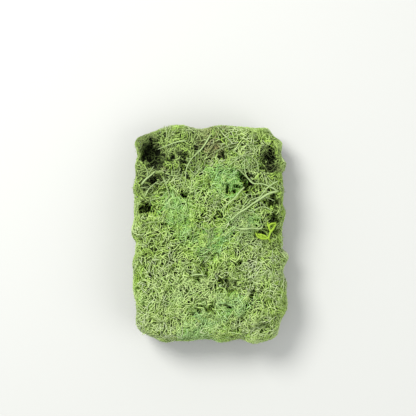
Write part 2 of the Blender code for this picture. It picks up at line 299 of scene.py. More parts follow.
FINISHES: dict[Shade, MossFinish] = {
    Shade.MINT: MossFinish(Shade.MINT, 0.4, 1.2),
    Shade.LEAF: MossFinish(Shade.LEAF, 0.2, 1.2),
    Shade.YELLOW: MossFinish(Shade.YELLOW, 0.2, 1.2),
    Shade.OLIVE: MossFinish(Shade.OLIVE, 0.0, 1.2),
    Shade.PALE: MossFinish(Shade.PALE, 0.0, 1.2),
    Shade.LIME: MossFinish(Shade.LIME, 0.0, 1.0, LIME_GREENS, roughness=0.7),
}


@dataclass(frozen=True)
class Hollow:
    """A pit or cleft in the top of the cushion, in millimetres, its long side turned from +X in degrees."""

    x: float
    y: float
    long: float
    wide: float
    turn: float
    depth: float
    steepness: float = 1.4

    def reach(self, x: np.ndarray, y: np.ndarray) -> np.ndarray:
        """How much of its depth the hollow has at each place.

        Args:
            x: The places along X.
            y: The places along Y.

        Returns:
            A share from 0 to 1.
        """
        cosine, sine = math.cos(math.radians(self.turn)), math.sin(math.radians(self.turn))
        along = ((x - self.x) * cosine + (y - self.y) * sine) / self.long
        across = ((y - self.y) * cosine - (x - self.x) * sine) / self.wide
        return np.exp(-((along**2 + across**2) ** self.steepness))


@dataclass(frozen=True)
class Zone:
    """A stretch of the top with its own green, openness and light, in millimetres.

    A hue of 0 is brown and 1 is mint. An openness of 0 is a fine fuzz and 1 an open net of thick strands.
    The light scales the strands' tone: it is painted light and shade, lower values darkening stretches in
    shade such as low corners, clefts and the side edges, and higher values brightening lit stretches,
    partly over real differences in paleness.
    """

    x: float
    y: float
    half_width: float
    half_length: float
    hue: float
    openness: float
    light: float

    def weight(self, x: np.ndarray, y: np.ndarray) -> np.ndarray:
        """How strongly the zone counts at each place, from 0 to 1."""
        return np.exp(-(((x - self.x) / self.half_width) ** 2) - ((y - self.y) / self.half_length) ** 2)


HOLLOWS = (
    Hollow(-45.2, 62, 8.4, 6.2, 0, 27),
    Hollow(-39.5, 54.5, 8.0, 6.2, -15, 25),
    Hollow(-43.2, 40.2, 4.8, 3.4, 20, 17),
    Hollow(-36.5, 40.5, 2.8, 2.3, 0, 8),
    Hollow(-46, 19.2, 5.0, 4.4, 0, 19),
    Hollow(25.2, 41.8, 7.0, 2.8, -50, 12),
    Hollow(32, 39.8, 3.2, 1.8, -35, 12),
    Hollow(27.2, 34.4, 3.8, 2.6, 60, 14),
    Hollow(20.5, 34.2, 3.6, 1.6, 0, 9),
    Hollow(14.5, 32.5, 2.4, 2.2, 0, 8),
    Hollow(32.5, 33.5, 3.4, 2.4, 10, 10),
    Hollow(9, 57.5, 2.8, 2.4, 0, 9),
    Hollow(45, 54.5, 5.4, 8.0, 10, 16),
    Hollow(46, 24, 5.0, 4.2, -20, 17),
    Hollow(48, 12, 4, 6, 0, 14),
    Hollow(-19, 58, 2.2, 3.0, 0, 12),
    Hollow(-19.3, 52.5, 2.0, 3.4, 0, 9),
    Hollow(-28, 54.4, 2.9, 2.5, 0, 12),
    Hollow(-22.5, 48.5, 2.0, 2.0, 0, 7),
    Hollow(-8.6, 64, 2.5, 1.9, 20, 10),
    Hollow(-15, 45.5, 2.0, 2.8, 0, 9),
    Hollow(-35, 32.5, 2.8, 2.2, 0, 8),
    Hollow(-18, 29, 2.8, 2.0, -30, 10),
    Hollow(6.5, 13.8, 3.2, 1.4, 0, 8),
    Hollow(-5, -25, 5.5, 3.6, -5, 7),
    Hollow(9, -33, 2.8, 2.3, -40, 10),
    Hollow(13.8, -40.5, 4.4, 2.6, -60, 9),
    Hollow(12, -33.5, 4.0, 2.2, -75, 7),
    Hollow(4, -16, 3.0, 2.2, 20, 5),
    Hollow(-10, -32, 4.6, 1.8, -15, 8),
    Hollow(18.5, -34.5, 5.6, 2.2, 50, 5),
    Hollow(31.5, -43.5, 2.8, 2.2, 0, 9),
    Hollow(19.6, -20.2, 3.4, 1.5, 0, 8),
    Hollow(0, -54, 4.2, 1.8, -20, 7),
    Hollow(-7, -54, 2.6, 1.8, 0, 7),
    Hollow(13, -53, 4.4, 2.0, 0, 7),
    Hollow(-43, -9, 4.0, 2.2, 25, 4),
    Hollow(41, -68, 5.5, 3.6, 0, 8),
    Hollow(47.5, 1, 4.2, 4.0, 0, 12),
    Hollow(39.5, 0.5, 3.4, 2.4, 0, 10),
)

# Columns: x, y, half width, half length, hue, openness, and light, which is painted light and shade over
# the real paleness.
ZONES = (
    Zone(-45, 68, 9, 7, 0.38, 0.50, 0.28),
    Zone(-20, 62, 13, 10, 0.38, 0.74, 0.56),
    Zone(3, 66, 9, 8, 0.16, 0.60, 0.60),
    Zone(5, 62, 8, 6, -0.12, 0.50, 0.50),
    Zone(22, 62, 12, 10, 0.57, 0.85, 1.36),
    Zone(31, 71, 6, 5, 0.38, 0.70, 0.95),
    Zone(44, 54, 7, 9, 0.32, 0.80, 0.44),
    Zone(49, 41, 4.5, 9, 0.38, 0.80, 0.40),
    Zone(50, 13, 4, 14, 0.40, 0.80, 0.50),
    Zone(-43, 37, 9, 9, 0.34, 0.80, 0.46),
    Zone(-46, 46, 5, 6, 0.36, 0.80, 0.45),
    Zone(-49, -30, 4, 7, 0.45, 0.70, 0.60),
    Zone(-28, 44, 6, 5, 0.44, 0.75, 0.90),
    Zone(-18, 37, 12, 9, 0.58, 0.65, 1.18),
    Zone(12, 44, 12, 10, 1.00, 0.30, 1.08),
    Zone(19, 38, 8, 6, 1.0, 0.20, 0.98),
    Zone(40, 31, 9, 9, 0.50, 1.00, 0.88),
    Zone(30, 22, 8, 7, 0.55, 0.90, 1.00),
    Zone(-27, 18, 12, 11, 1.0, 0.25, 1.10),
    Zone(-42, 14, 8, 9, 0.52, 0.60, 0.88),
    Zone(0, 27, 9, 6, 0.62, 0.72, 1.30),
    Zone(-6, 12, 12, 6, 0.58, 0.65, 0.86),
    Zone(25, 11, 10, 8, 0.88, 0.40, 1.42),
    Zone(-41, -2, 10, 9, 0.52, 0.85, 1.02),
    Zone(-36, -16, 11, 8, 0.42, 0.70, 0.90),
    Zone(2, -7, 10, 8, 0.90, 0.35, 1.16),
    Zone(3, -4, 6, 6, 1.40, 0.20, 1.00),
    Zone(-16, 3, 8, 5, 0.85, 0.45, 1.15),
    Zone(45, -2, 5, 6, 0.52, 0.70, 0.75),
    Zone(41, -13, 7, 6, 0.52, 0.60, 1.40),
    Zone(30, 45, 4, 4, 0.50, 0.80, 1.35),
    Zone(-34, 6, 6, 4, 0.60, 0.65, 1.25),
    Zone(25, -6, 6, 6, 0.62, 0.60, 1.35),
    Zone(34, -28, 11, 12, 0.50, 0.60, 1.30),
    Zone(19, -37, 7, 6, 0.36, 0.60, 0.72),
    Zone(-37, -42, 12, 11, 0.62, 0.58, 1.68),
    Zone(-10, -38, 11, 9, 0.65, 0.58, 1.90),
    Zone(-6, -23, 8, 4, 0.50, 0.70, 0.80),
    Zone(18, -49, 11, 8, 0.86, 0.40, 1.42),
    Zone(-37, -68, 13, 8, 0.50, 0.55, 1.45),
    Zone(-8, -67, 13, 9, 0.88, 0.40, 1.45),
    Zone(33, -68, 13, 8, 0.50, 0.50, 1.30),
)
ELSEWHERE = Zone(0, 0, 1, 1, 0.5, 0.65, 0.95)
ELSEWHERE_WEIGHT = 0.12


@dataclass(frozen=True)
class Waves:
    """A smooth random surface: waves of random directions, and of lengths in millimetres, added up."""

    seed: int
    count: int
    shortest: float
    longest: float
    height: float

    def over(self, x: np.ndarray, y: np.ndarray) -> np.ndarray:
        """The surface over some places.

        Args:
            x: The places along X.
            y: The places along Y.

        Returns:
            Its height at each, up or down.
        """
        rng = np.random.default_rng(self.seed)
        surface = np.zeros_like(x)
        for _ in range(self.count):
            angle, phase = rng.uniform(0, math.tau, 2)
            number = math.tau / math.exp(rng.uniform(math.log(self.shortest), math.log(self.longest)))
            surface += np.sin(number * (x * math.cos(angle) + y * math.sin(angle)) + phase)
        return surface * self.height * math.sqrt(2 / self.count)


@dataclass
class Cushion:
    """The outside shape of the clump: a pressed mound with a wavy top, clefts, and a curled-up rim.

    Its heights, and what the strands are like from place to place, are sheets over a fine grid. Sizes
    are in millimetres, and a share is 0 in the middle of the outline and 1 on it.
    """

    tops: list[tuple[float, float, float]]
    half_width: float = 55.9
    half_length: float = 79.4
    square: float = 7.0
    cell: float = 0.5
    grid_half_width: float = 70.0
    grid_half_length: float = 95.0
    # The top: how far each tuft's height carries, and how low and how near the rim its hollows reach
    tuft_spread: float = 9.0
    floor_of_hollows: float = 11.0
    wall: float = 0.97
    wall_slope: float = 0.06
    # The sides: how far they pull in at the top, and the share of it that they pull in at the foot, how
    # round the edges are, and how far the rim swings in
    shoulder: float = 0.12
    foot: float = 0.6
    softness: float = 1.2
    rim_usual: float = 0.988
    rim_swing: float = 0.02
    rim_most: float = 1.006
    # The underside: how high it lies, and how it lifts towards the rim
    underside: float = 0.5
    rim_lift: float = 4.5
    lift_from: float = 0.68
    lift_over: float = 0.32
    beyond: float = 1.2
    # What keeps the depth in bounds in the very middle and far outside
    least_share: float = 0.05
    depth_limits: tuple[float, float] = (-20.0, 60.0)
    # The way that strands run, as an angle from +X in radians
    usual_flow: float = 0.7
    # What makes all this vary from place to place
    swell: Waves = Waves(SEED, 16, 9.0, 30.0, 1.3)
    ripple: Waves = Waves(SEED + 1, 14, 3.5, 8.0, 0.45)
    rim_waves: Waves = Waves(SEED + 2, 10, 14.0, 40.0, 1.0)
    under_waves: Waves = Waves(SEED + 3, 12, 6.0, 18.0, 0.8)
    bend_across: Waves = Waves(SEED + 4, 12, 4.0, 12.0, 1.5)
    bend_along: Waves = Waves(SEED + 5, 12, 4.0, 12.0, 1.5)
    hue_waves: Waves = Waves(SEED + 6, 14, 8.0, 26.0, 0.05)
    open_waves: Waves = Waves(SEED + 7, 14, 8.0, 26.0, 0.08)
    flow_waves: Waves = Waves(SEED + 8, 10, 35.0, 90.0, 0.75)
    light_waves: Waves = Waves(SEED + 10, 14, 9.0, 28.0, 0.07)

    def __post_init__(self) -> None:
        """Lays out the cells and works out all the sheets."""
        across = np.arange(-self.grid_half_width, self.grid_half_width, self.cell)
        along = np.arange(-self.grid_half_length, self.grid_half_length, self.cell)
        self.low = np.array([across[0], along[0]])
        self.x, self.y = np.meshgrid(across, along, indexing="ij")
        self.bent = (self.x + self.spread(self.bend_across), self.y + self.spread(self.bend_along))
        self.shape_top()
        self.shape_rim()
        self.lay_zones()

    def spread(self, waves: Waves) -> np.ndarray:
        """Some waves over all the cells."""
        return waves.over(self.x, self.y)

    def shape_top(self) -> None:
        """Works out the crest, the pits in it and the top that they leave."""
        total = np.zeros_like(self.x)
        height = np.zeros_like(self.x)
        for place_x, place_y, top in self.tops:
            away = (self.x - place_x) ** 2 + (self.y - place_y) ** 2
            weight = np.exp(-away / (2 * self.tuft_spread**2)) + TINY
            total += weight
            height += weight * top
        self.crest = height / total + self.spread(self.swell)
        self.crest += self.spread(self.ripple)
        pits = sum(hollow.depth * hollow.reach(*self.bent) for hollow in HOLLOWS)
        pits = pits * np.clip((self.wall - self.share(self.x, self.y)) / self.wall_slope, 0, 1)
        self.pit = np.minimum(pits, self.crest - self.floor_of_hollows)
        self.top = self.crest - self.pit

    def shape_rim(self) -> None:
        """Works out how far the rim swings in, and the underside that lifts towards it."""
        self.rim = np.minimum(self.rim_usual + self.rim_swing * self.spread(self.rim_waves), self.rim_most)
        over = (self.share(self.x, self.y) - self.lift_from) / self.lift_over
        lift = self.rim_lift * np.clip(over, 0, self.beyond) ** 2
        self.base = self.underside + lift + np.abs(self.spread(self.under_waves))

    def lay_zones(self) -> None:
        """Works out the strands' hue, openness, light and direction; the light is painted light and shade
        over their real paleness.
        """
        total = np.full_like(self.x, ELSEWHERE_WEIGHT)
        sheets = {name: total * getattr(ELSEWHERE, name) for name in ("hue", "openness", "light")}
        for zone in ZONES:
            weight = zone.weight(*self.bent)
            total += weight
            for name, sheet in sheets.items():
                sheet += weight * getattr(zone, name)
        self.hue = sheets["hue"] / total + self.spread(self.hue_waves)
        self.openness = np.clip(sheets["openness"] / total + self.spread(self.open_waves), 0, 1)
        self.light = sheets["light"] / total * (1 + self.spread(self.light_waves))
        self.flow = self.usual_flow + self.spread(self.flow_waves)

    def share(self, x: np.ndarray, y: np.ndarray) -> np.ndarray:
        """How far out places lie: 0 in the middle of the outline and 1 on it."""
        across, along = np.abs(x / self.half_width), np.abs(y / self.half_length)
        return (across**self.square + along**self.square) ** (1 / self.square)

    def read(self, sheet: np.ndarray, points: np.ndarray) -> np.ndarray:
        """Reads a sheet at some points, smoothly between its cells.

        Args:
            sheet: One of the cushion's sheets.
            points: The points, of which only X and Y count.

        Returns:
            The sheet's value at each.
        """
        place = (points[:, :2] - self.low) / self.cell
        whole = np.clip(place.astype(int), 0, np.array(sheet.shape) - 2)
        part = np.clip(place - whole, 0, 1)
        i, j, a, b = whole[:, 0], whole[:, 1], part[:, 0], part[:, 1]
        return (
            sheet[i, j] * (1 - a) * (1 - b)
            + sheet[i + 1, j] * a * (1 - b)
            + sheet[i, j + 1] * (1 - a) * b
            + sheet[i + 1, j + 1] * a * b
        )

    def depth(self, points: np.ndarray) -> np.ndarray:
        """How deep points lie under the nearest part of the outside.

        Args:
            points: The points.

        Returns:
            Their depths, negative outside.
        """
        x, y, z = points.T
        top = self.read(self.top, points)
        crest = self.read(self.crest, points)
        base = self.read(self.base, points)
        share = self.share(x, y) * self.read(self.rim, points)
        middle = (crest + base) / 2
        above = np.clip((z - middle) / (crest - middle), 0, self.beyond)
        below = np.clip((middle - z) / np.maximum(middle - base, 1), 0, self.beyond)
        widest = 1 - self.shoulder * above**3 - self.shoulder * self.foot * below**3
        out = np.hypot(x, y) / np.maximum(share, self.least_share)
        parts = np.stack([(widest - share) * out, top - z, z - base])
        return -self.softness * np.log(np.exp(-np.clip(parts, *self.depth_limits) / self.softness).sum(0))

    def outward(self, points: np.ndarray) -> np.ndarray:
        """The direction out of the cushion.

        Args:
            points: Where.

        Returns:
            A unit vector for each point.
        """
        slope = np.zeros_like(points)
        for axis in range(3):
            step = np.zeros(3)
            step[axis] = self.cell
            slope[:, axis] = self.depth(points - step) - self.depth(points + step)
        return unit(slope)


@dataclass
class Room:
    """Marks the space that strands have taken, on a fine grid, so that new ones keep off it."""

    low: tuple[float, float, float] = (-66, -92, -1)
    high: tuple[float, float, float] = (66, 92, 54)
    cell: float = 0.5
    largest: float = 2.6
    key_step: int = 4096

    def __post_init__(self) -> None:
        """Lays out the empty grid, and the cells of a ball in the order of their distance."""
        self.corner = np.array(self.low)
        self.shape = np.ceil((np.array(self.high) - self.corner) / self.cell).astype(int)
        self.taken = np.zeros(self.shape, dtype=bool)
        reach = int(math.ceil(self.largest / self.cell))
        steps = np.arange(-reach, reach + 1)
        ball = np.stack(np.meshgrid(steps, steps, steps, indexing="ij"), -1).reshape(-1, 3)
        far = np.linalg.norm(ball * self.cell, axis=1)
        order = np.argsort(far, kind="stable")
        self.ball, self.far = ball[order], far[order]

    def cells(self, points: np.ndarray) -> np.ndarray:
        """The cell that each point lies in."""
        return np.clip(((points - self.corner) / self.cell).astype(int), 0, self.shape - 1)

    def is_free(self, points: np.ndarray) -> np.ndarray:
        """Whether each point lies in free space."""
        return ~self.taken[tuple(self.cells(points).T)]

    def one_to_a_cell(self, points: np.ndarray, width: float) -> np.ndarray:
        """The numbers of the points that come first in their own coarse cell.

        Args:
            points: The points, in order of rank.
            width: The width of a coarse cell.

        Returns:
            The numbers of those points.
        """
        coarse = np.floor((points - self.corner) / width).astype(np.int64)
        key = (coarse[:, 0] * self.key_step + coarse[:, 1]) * self.key_step + coarse[:, 2]
        return np.sort(np.unique(key, return_index=True)[1])

    def take(self, points: np.ndarray, radius: np.ndarray) -> None:
        """Takes a ball of space round each point.

        Args:
            points: The middles.
            radius: The radius of each ball, no more than the largest.
        """
        if not len(points):
            return
        home = self.cells(points)
        for step, far in zip(self.ball, self.far, strict=True):
            close = radius >= far
            if not close.any():
                break
            spot = np.clip(home[close] + step, 0, self.shape - 1)
            self.taken[tuple(spot.T)] = True


@dataclass
class Strands:
    """All that has grown so far: a tree of nodes, each joined to its parent by a length of strand."""

    place: list[np.ndarray] = field(default_factory=list)
    way: list[np.ndarray] = field(default_factory=list)
    side: list[np.ndarray] = field(default_factory=list)
    parent: list[np.ndarray] = field(default_factory=list)
    radius: list[np.ndarray] = field(default_factory=list)
    tuft: list[np.ndarray] = field(default_factory=list)
    tone: list[np.ndarray] = field(default_factory=list)
    hue: list[np.ndarray] = field(default_factory=list)
    depth: list[np.ndarray] = field(default_factory=list)
    count: int = 0

    def add(self, **values: np.ndarray) -> np.ndarray:
        """Adds nodes and gives their numbers.

        Args:
            values: One array for each field of a node.

        Returns:
            The new nodes' numbers.
        """
        size = len(values["place"])
        for name, value in values.items():
            getattr(self, name).append(value)
        self.count += size
        return np.arange(self.count - size, self.count)

    def whole(self, name: str) -> np.ndarray:
        """One field of all the nodes, as one array."""
        return np.concatenate(getattr(self, name))


@dataclass
class Tips:
    """The growing ends: where they are, where they point and which strand they belong to."""

    node: np.ndarray
    place: np.ndarray
    way: np.ndarray
    side: np.ndarray
    curl: np.ndarray
    radius: np.ndarray
    tuft: np.ndarray
    hue: np.ndarray
    pale: np.ndarray

    def pick(self, which: np.ndarray) -> "Tips":
        """Some of the tips."""
        return Tips(**{name: value[which] for name, value in vars(self).items()})

    @staticmethod
    def together(parts: list["Tips"]) -> "Tips":
        """Several sets of tips as one."""
        names = vars(parts[0])
        return Tips(**{name: np.concatenate([getattr(part, name) for part in parts]) for name in names})


@dataclass(frozen=True)
class Habit:
    """How strands grow: how they curl and fork, and how far they reach and keep apart.

    Sizes are in millimetres and angles in degrees. Where a step, radius, room or least depth has two
    values, the first is for a fine fuzz and the second for an open net.
    """

    curl: float = 0.030
    wobble: float = 0.18
    forks_deep: float = 0.36
    forks_near: float = 0.52
    triples: float = 0.14
    fork_low: float = 52.0
    fork_high: float = 92.0
    main_lean: float = 0.75
    side_lean: float = 1.25
    deep_step: float = 2.8
    near_step: tuple[float, float] = (1.10, 1.85)
    step_spread: tuple[float, float] = (0.88, 1.16)
    deep_radius: float = 0.62
    near_radius: tuple[float, float] = (0.21, 0.34)
    deep_room: float = 2.05
    near_room: tuple[float, float] = (0.74, 1.28)
    shrink: float = 0.95
    tries: int = 5
    hug: float = 0.0
    flow: float = 0.10
    least_depth: tuple[float, float] = (0.1, 0.1)


TANGLE = Habit(least_depth=(0.1, 1.0))
FUZZ = Habit(
    curl=0.08, wobble=0.35, forks_near=0.5, near_step=(0.95, 1.25), near_radius=(0.165, 0.20),
    near_room=(0.5, 0.62), tries=3,
)
RUNNER = Habit(
    curl=0.012, wobble=0.09, forks_deep=0.3, forks_near=0.42, fork_low=58, fork_high=100, deep_step=2.1,
    near_step=(1.5, 2.1), flow=0.26, deep_radius=0.38, near_radius=(0.20, 0.36), deep_room=1.6,
    near_room=(0.95, 1.5), shrink=0.98, tries=4, hug=1.9,
)


@dataclass(frozen=True)
class Seeding:
    """Where the net starts, all through the inside of the cushion, in millimetres.

    The full depth at a place is a share of the cushion's thickness. Strands start in a layer near it.
    """

    tries: int = 90_000
    generations: int = 22
    middle: float = 24.0
    depth_share: float = 0.42
    depth_limits: tuple[float, float] = (1.5, 12.5)
    layer: tuple[float, float] = (0.66, 1.0)
    batches: int = 12
    apart: float = 2.4
    room: float = 1.9
    lean: float = 0.5
    pale_spread: float = 0.10


@dataclass(frozen=True)
class Running:
    """Where the long strands along the top start, most of them where the net is open, in millimetres."""

    tries: int = 6000
    generations: int = 14
    half_size: tuple[float, float] = (53.0, 76.0)
    sunk: float = 1.2
    least_depth: float = 0.3
    open_gain: float = 1.6
    open_loss: float = 0.3
    least_wanted: float = 0.08
    pit_fade: float = 4.0
    apart: float = 3.6
    flatness: tuple[float, float, float] = (1.0, 1.0, 0.15)
    pale: tuple[float, float] = (-0.05, 0.22)
    radius: tuple[float, float] = (0.28, 0.50)


@dataclass(frozen=True)
class Twigging:
    """Which strands bear the fine twigs that fill the holes of the net, on top and on the sides.

    Depths and heights are in millimetres.
    """

    generations: int = 3
    most_open: float = 0.62
    open_over: float = 0.4
    deeper_from: float = 1.6
    deeper_share: float = 0.4
    top_layer: tuple[float, float] = (0.4, 3.6)
    under_crest: float = 9.0
    side_layer: tuple[float, float] = (0.3, 2.6)
    side_height: float = 5.0
    side_share: float = 0.35
    twins: float = 0.5
    room: float = 0.5
    forward: float = 0.5
    radius: float = 0.19
    # Twigs are darker than the strands they grow from, more so where the net is open: painted shade in the
    # holes of the net.
    pale: tuple[float, float] = (-0.10, -0.42)


@dataclass
class Site:
    """What the cushion is like at the growing ends."""

    depth: np.ndarray
    out: np.ndarray
    near: np.ndarray
    openness: np.ndarray

    def usual(self, deep: float, near: tuple[float, float]) -> np.ndarray:
        """A habit's value there, from its value deep inside and its two values near the outside."""
        return blend(deep, blend(*near, self.openness), self.near)


@dataclass
class Thicket:
    """Grows the strands of every tuft at once, in millimetres."""

    cushion: Cushion
    middles: np.ndarray
    # How far a strand may stray past its own tuft, in how many lots steps are tried, and how close they end
    stray: float = 5.0
    batches: int = 6
    crowd: float = 1.2
    # From what depth a place counts as near the outside, and how open the net is on the sides and below
    near_from: float = 7.5
    near_over: float = 4.5
    pit_closes: float = 16.0
    side_slope: float = 1.6
    side_open: float = 0.7
    under_open: float = 1.3
    under_slope: float = -0.4
    # How a strand's tone darkens with depth, partly real older growth and partly painted shade, and the
    # painted shade in pits and near the floor
    depth_fade: float = 5.2
    pit_fade: float = 11.0
    pit_power: float = 1.3
    light_in_pit_shade: float = 0.2
    low_from: float = 1.0
    low_over: float = 9.0
    light_in_floor_shade: float = 0.3
    # How strands differ in hue, and the share of them that are brown and dull
    hue_spread: float = 0.05
    hue_drift: float = 0.02
    dull_share: float = 0.05
    dull_hue: float = 0.6
    # How flat forks lie near the outside, and how strands turn to run along it
    flat_from: float = 5.0
    flat_over: float = 4.0
    most_flat: float = 0.8
    turn_from: float = 0.8
    turn_over_top: float = 4.5
    turn_over_side: float = 2.2
    most_inward: float = -0.2
    # How runners keep to their depth, the palest ones highest
    pale_rise: float = 5.5
    pale_limits: tuple[float, float] = (-0.05, 0.25)
    rise_gain: float = 0.35
    most_rise: float = 0.5
    # How radius, tone, curl and paleness carry on from a node to the next
    quickest_thinning: float = 0.8
    thinnest: float = 0.7
    radius_spread: tuple[float, float] = (0.94, 1.06)
    tone_spread: tuple[float, float] = (0.84, 1.12)
    pale_lift: float = 0.3
    curl_kept: float = 0.8
    pale_kept: float = 0.96

    def __post_init__(self) -> None:
        """Starts with an empty grid and no strands."""
        self.rng = np.random.default_rng(SEED)
        self.room = Room()
        self.strands = Strands()

    def site(self, place: np.ndarray) -> Site:
        """Reads the cushion at some places: the sides and the underside are more open than the top.

        Args:
            place: The places.

        Returns:
            What it is like at each.
        """
        depth = self.cushion.depth(place)
        out = self.cushion.outward(place)
        near = np.clip((self.near_from - depth) / self.near_over, 0, 1)
        openness = self.cushion.read(self.cushion.openness, place)
        openness = openness * np.exp(-self.cushion.read(self.cushion.pit, place) / self.pit_closes)
        away = np.clip(1 - out[:, 2] * self.side_slope, 0, 1)
        away = away * blend(self.side_open, self.under_open, out[:, 2] < self.under_slope)
        return Site(depth, out, near, np.maximum(openness, away))

    def tone_at(self, place: np.ndarray, depth: np.ndarray) -> np.ndarray:
        """How pale strands are: darker with depth inside, partly real older growth and partly painted
        shade, darkened by painted shade down in the hollows and near the floor, and scaled by the zone's
        painted light and shade over the real paleness.

        Args:
            place: Where they are.
            depth: How deep each place lies.

        Returns:
            The tone at each place, 0 or more.
        """
        # Painted shade: darker with depth under the outside, partly over the real darker old growth
        lit = np.exp(-np.clip(depth, 0, None) / self.depth_fade)
        # Painted shade down in the hollows
        pit_shade = np.exp(-((self.cushion.read(self.cushion.pit, place) / self.pit_fade) ** self.pit_power))
        # Painted shade near the floor, under the clump
        low = np.clip((place[:, 2] - self.low_from) / self.low_over, self.light_in_floor_shade, 1)
        # The zone's light: painted light and shade over the real paleness
        light = self.cushion.read(self.cushion.light, place)
        return lit * blend(self.light_in_pit_shade, 1.0, pit_shade) * low * light

    def nearest_tuft(self, place: np.ndarray) -> np.ndarray:
        """The number of the tuft whose middle is nearest to each place."""
        return np.linalg.norm(place[:, None, :2] - self.middles[None], axis=2).argmin(1)

    def start(
        self, place: np.ndarray, way: np.ndarray, radius: np.ndarray | float, pale: np.ndarray, curl: float
    ) -> Tips:
        """Starts new strands.

        Args:
            place: Where they start.
            way: The directions they start in.
            radius: Their radius.
            pale: How much paler than usual each is.
            curl: How much they curl.

        Returns:
            Their tips.
        """
        size = len(place)
        depth = self.cushion.depth(place)
        side = unit(np.cross(way, self.rng.normal(size=(size, 3))))
        hue = self.cushion.read(self.cushion.hue, place) + self.rng.normal(0, self.hue_spread, size)
        dull = self.rng.random(size) < self.dull_share
        hue = np.minimum(np.where(dull, hue * self.dull_hue, hue), 1)
        tuft = self.nearest_tuft(place)
        thick = np.full(size, radius, dtype=float)
        node = self.strands.add(
            place=place, way=way, side=side, parent=np.full(size, -1), radius=thick, tuft=tuft,
            tone=self.tone_at(place, depth), hue=hue, depth=depth,
        )
        return Tips(node, place, way, side, self.rng.normal(0, curl, (size, 3)), thick, tuft, hue, pale)

    def seeds(self, rule: Seeding) -> Tips:
        """Starts strands all through the inside of the cushion, some way under its skin.

        Args:
            rule: Where they start.

        Returns:
            The tips that grow from them.
        """
        half = np.array([self.cushion.half_width, self.cushion.half_length, rule.middle])
        places = self.rng.uniform(-1, 1, (rule.tries, 3)) * half + np.array([0, 0, rule.middle])
        thick = self.cushion.read(self.cushion.top, places) - self.cushion.read(self.cushion.base, places)
        full = np.clip(thick * rule.depth_share, *rule.depth_limits)
        places = places[between(self.cushion.depth(places) / full, rule.layer)]
        kept = []
        for batch in np.array_split(places, rule.batches):
            batch = batch[self.room.is_free(batch)]
            batch = batch[self.room.one_to_a_cell(batch, rule.apart)]
            self.room.take(batch, np.full(len(batch), rule.room))
            kept.append(batch)
        places = np.concatenate(kept)
        ways = unit(self.cushion.outward(places) + self.rng.normal(0, rule.lean, places.shape))
        pale = self.rng.normal(0, rule.pale_spread, len(places))
        return self.start(places, ways, TANGLE.deep_radius, pale, TANGLE.curl)

    def runners(self, rule: Running) -> Tips:
        """Starts long pale strands that lie along the top.

        Args:
            rule: Where they start, and what they are like.

        Returns:
            The tips that grow from them.
        """
        places = self.rng.uniform(-1, 1, (rule.tries, 3)) * np.array([*rule.half_size, 0.0])
        places[:, 2] = self.cushion.read(self.cushion.top, places) - rule.sunk
        openness = self.cushion.read(self.cushion.openness, places)
        wanted = np.clip(openness * rule.open_gain - rule.open_loss, rule.least_wanted, 1)
        wanted *= np.exp(-self.cushion.read(self.cushion.pit, places) / rule.pit_fade)
        deep_enough = self.cushion.depth(places) > rule.least_depth
        places = places[(self.rng.random(rule.tries) < wanted) & deep_enough]
        places = places[self.room.is_free(places)]
        places = places[self.room.one_to_a_cell(places, rule.apart)]
        ways = self.rng.normal(0, 1, places.shape) * np.array(rule.flatness)
        pale = self.rng.uniform(*rule.pale, len(places))
        radius = self.rng.uniform(*rule.radius, len(places))
        return self.start(places, unit(ways), radius, pale, RUNNER.curl)

    def twigs(self, rule: Twigging) -> Tips:
        """Starts the fine twigs that fill the holes of the net, from the strands grown so far.

        Args:
            rule: Which strands bear them.

        Returns:
            The tips that grow from them.
        """
        self.room = Room()
        place, way, side = (self.strands.whole(name) for name in ("place", "way", "side"))
        self.room.take(place, np.full(len(place), rule.room))
        depth = self.strands.whole("depth")
        crest = self.cushion.read(self.cushion.top, place)
        openness = self.cushion.read(self.cushion.openness, place)
        chance = np.clip((rule.most_open - openness) / rule.open_over, 0.0, 1)
        chance = chance + rule.deeper_share * (depth > rule.deeper_from)
        on_top = between(depth, rule.top_layer) & (crest - place[:, 2] < rule.under_crest)
        beside = between(depth, rule.side_layer) & ~on_top & (place[:, 2] > rule.side_height)
        chance = np.where(on_top, chance, rule.side_share * beside)
        chosen = np.flatnonzero(self.rng.random(len(place)) < chance)
        chosen = np.concatenate([chosen, chosen[self.rng.random(len(chosen)) < rule.twins]])
        across = unit(np.cross(way[chosen], self.rng.normal(size=(len(chosen), 3))))
        going = unit(way[chosen] * rule.forward + across)
        # The twigs' negative paleness darkens them: painted shade in the holes of the net.
        return Tips(
            chosen, place[chosen], going, side[chosen], self.rng.normal(0, FUZZ.curl, (len(chosen), 3)),
            np.full(len(chosen), rule.radius), self.strands.whole("tuft")[chosen],
            self.strands.whole("hue")[chosen], blend(*rule.pale, openness[chosen]),
        )

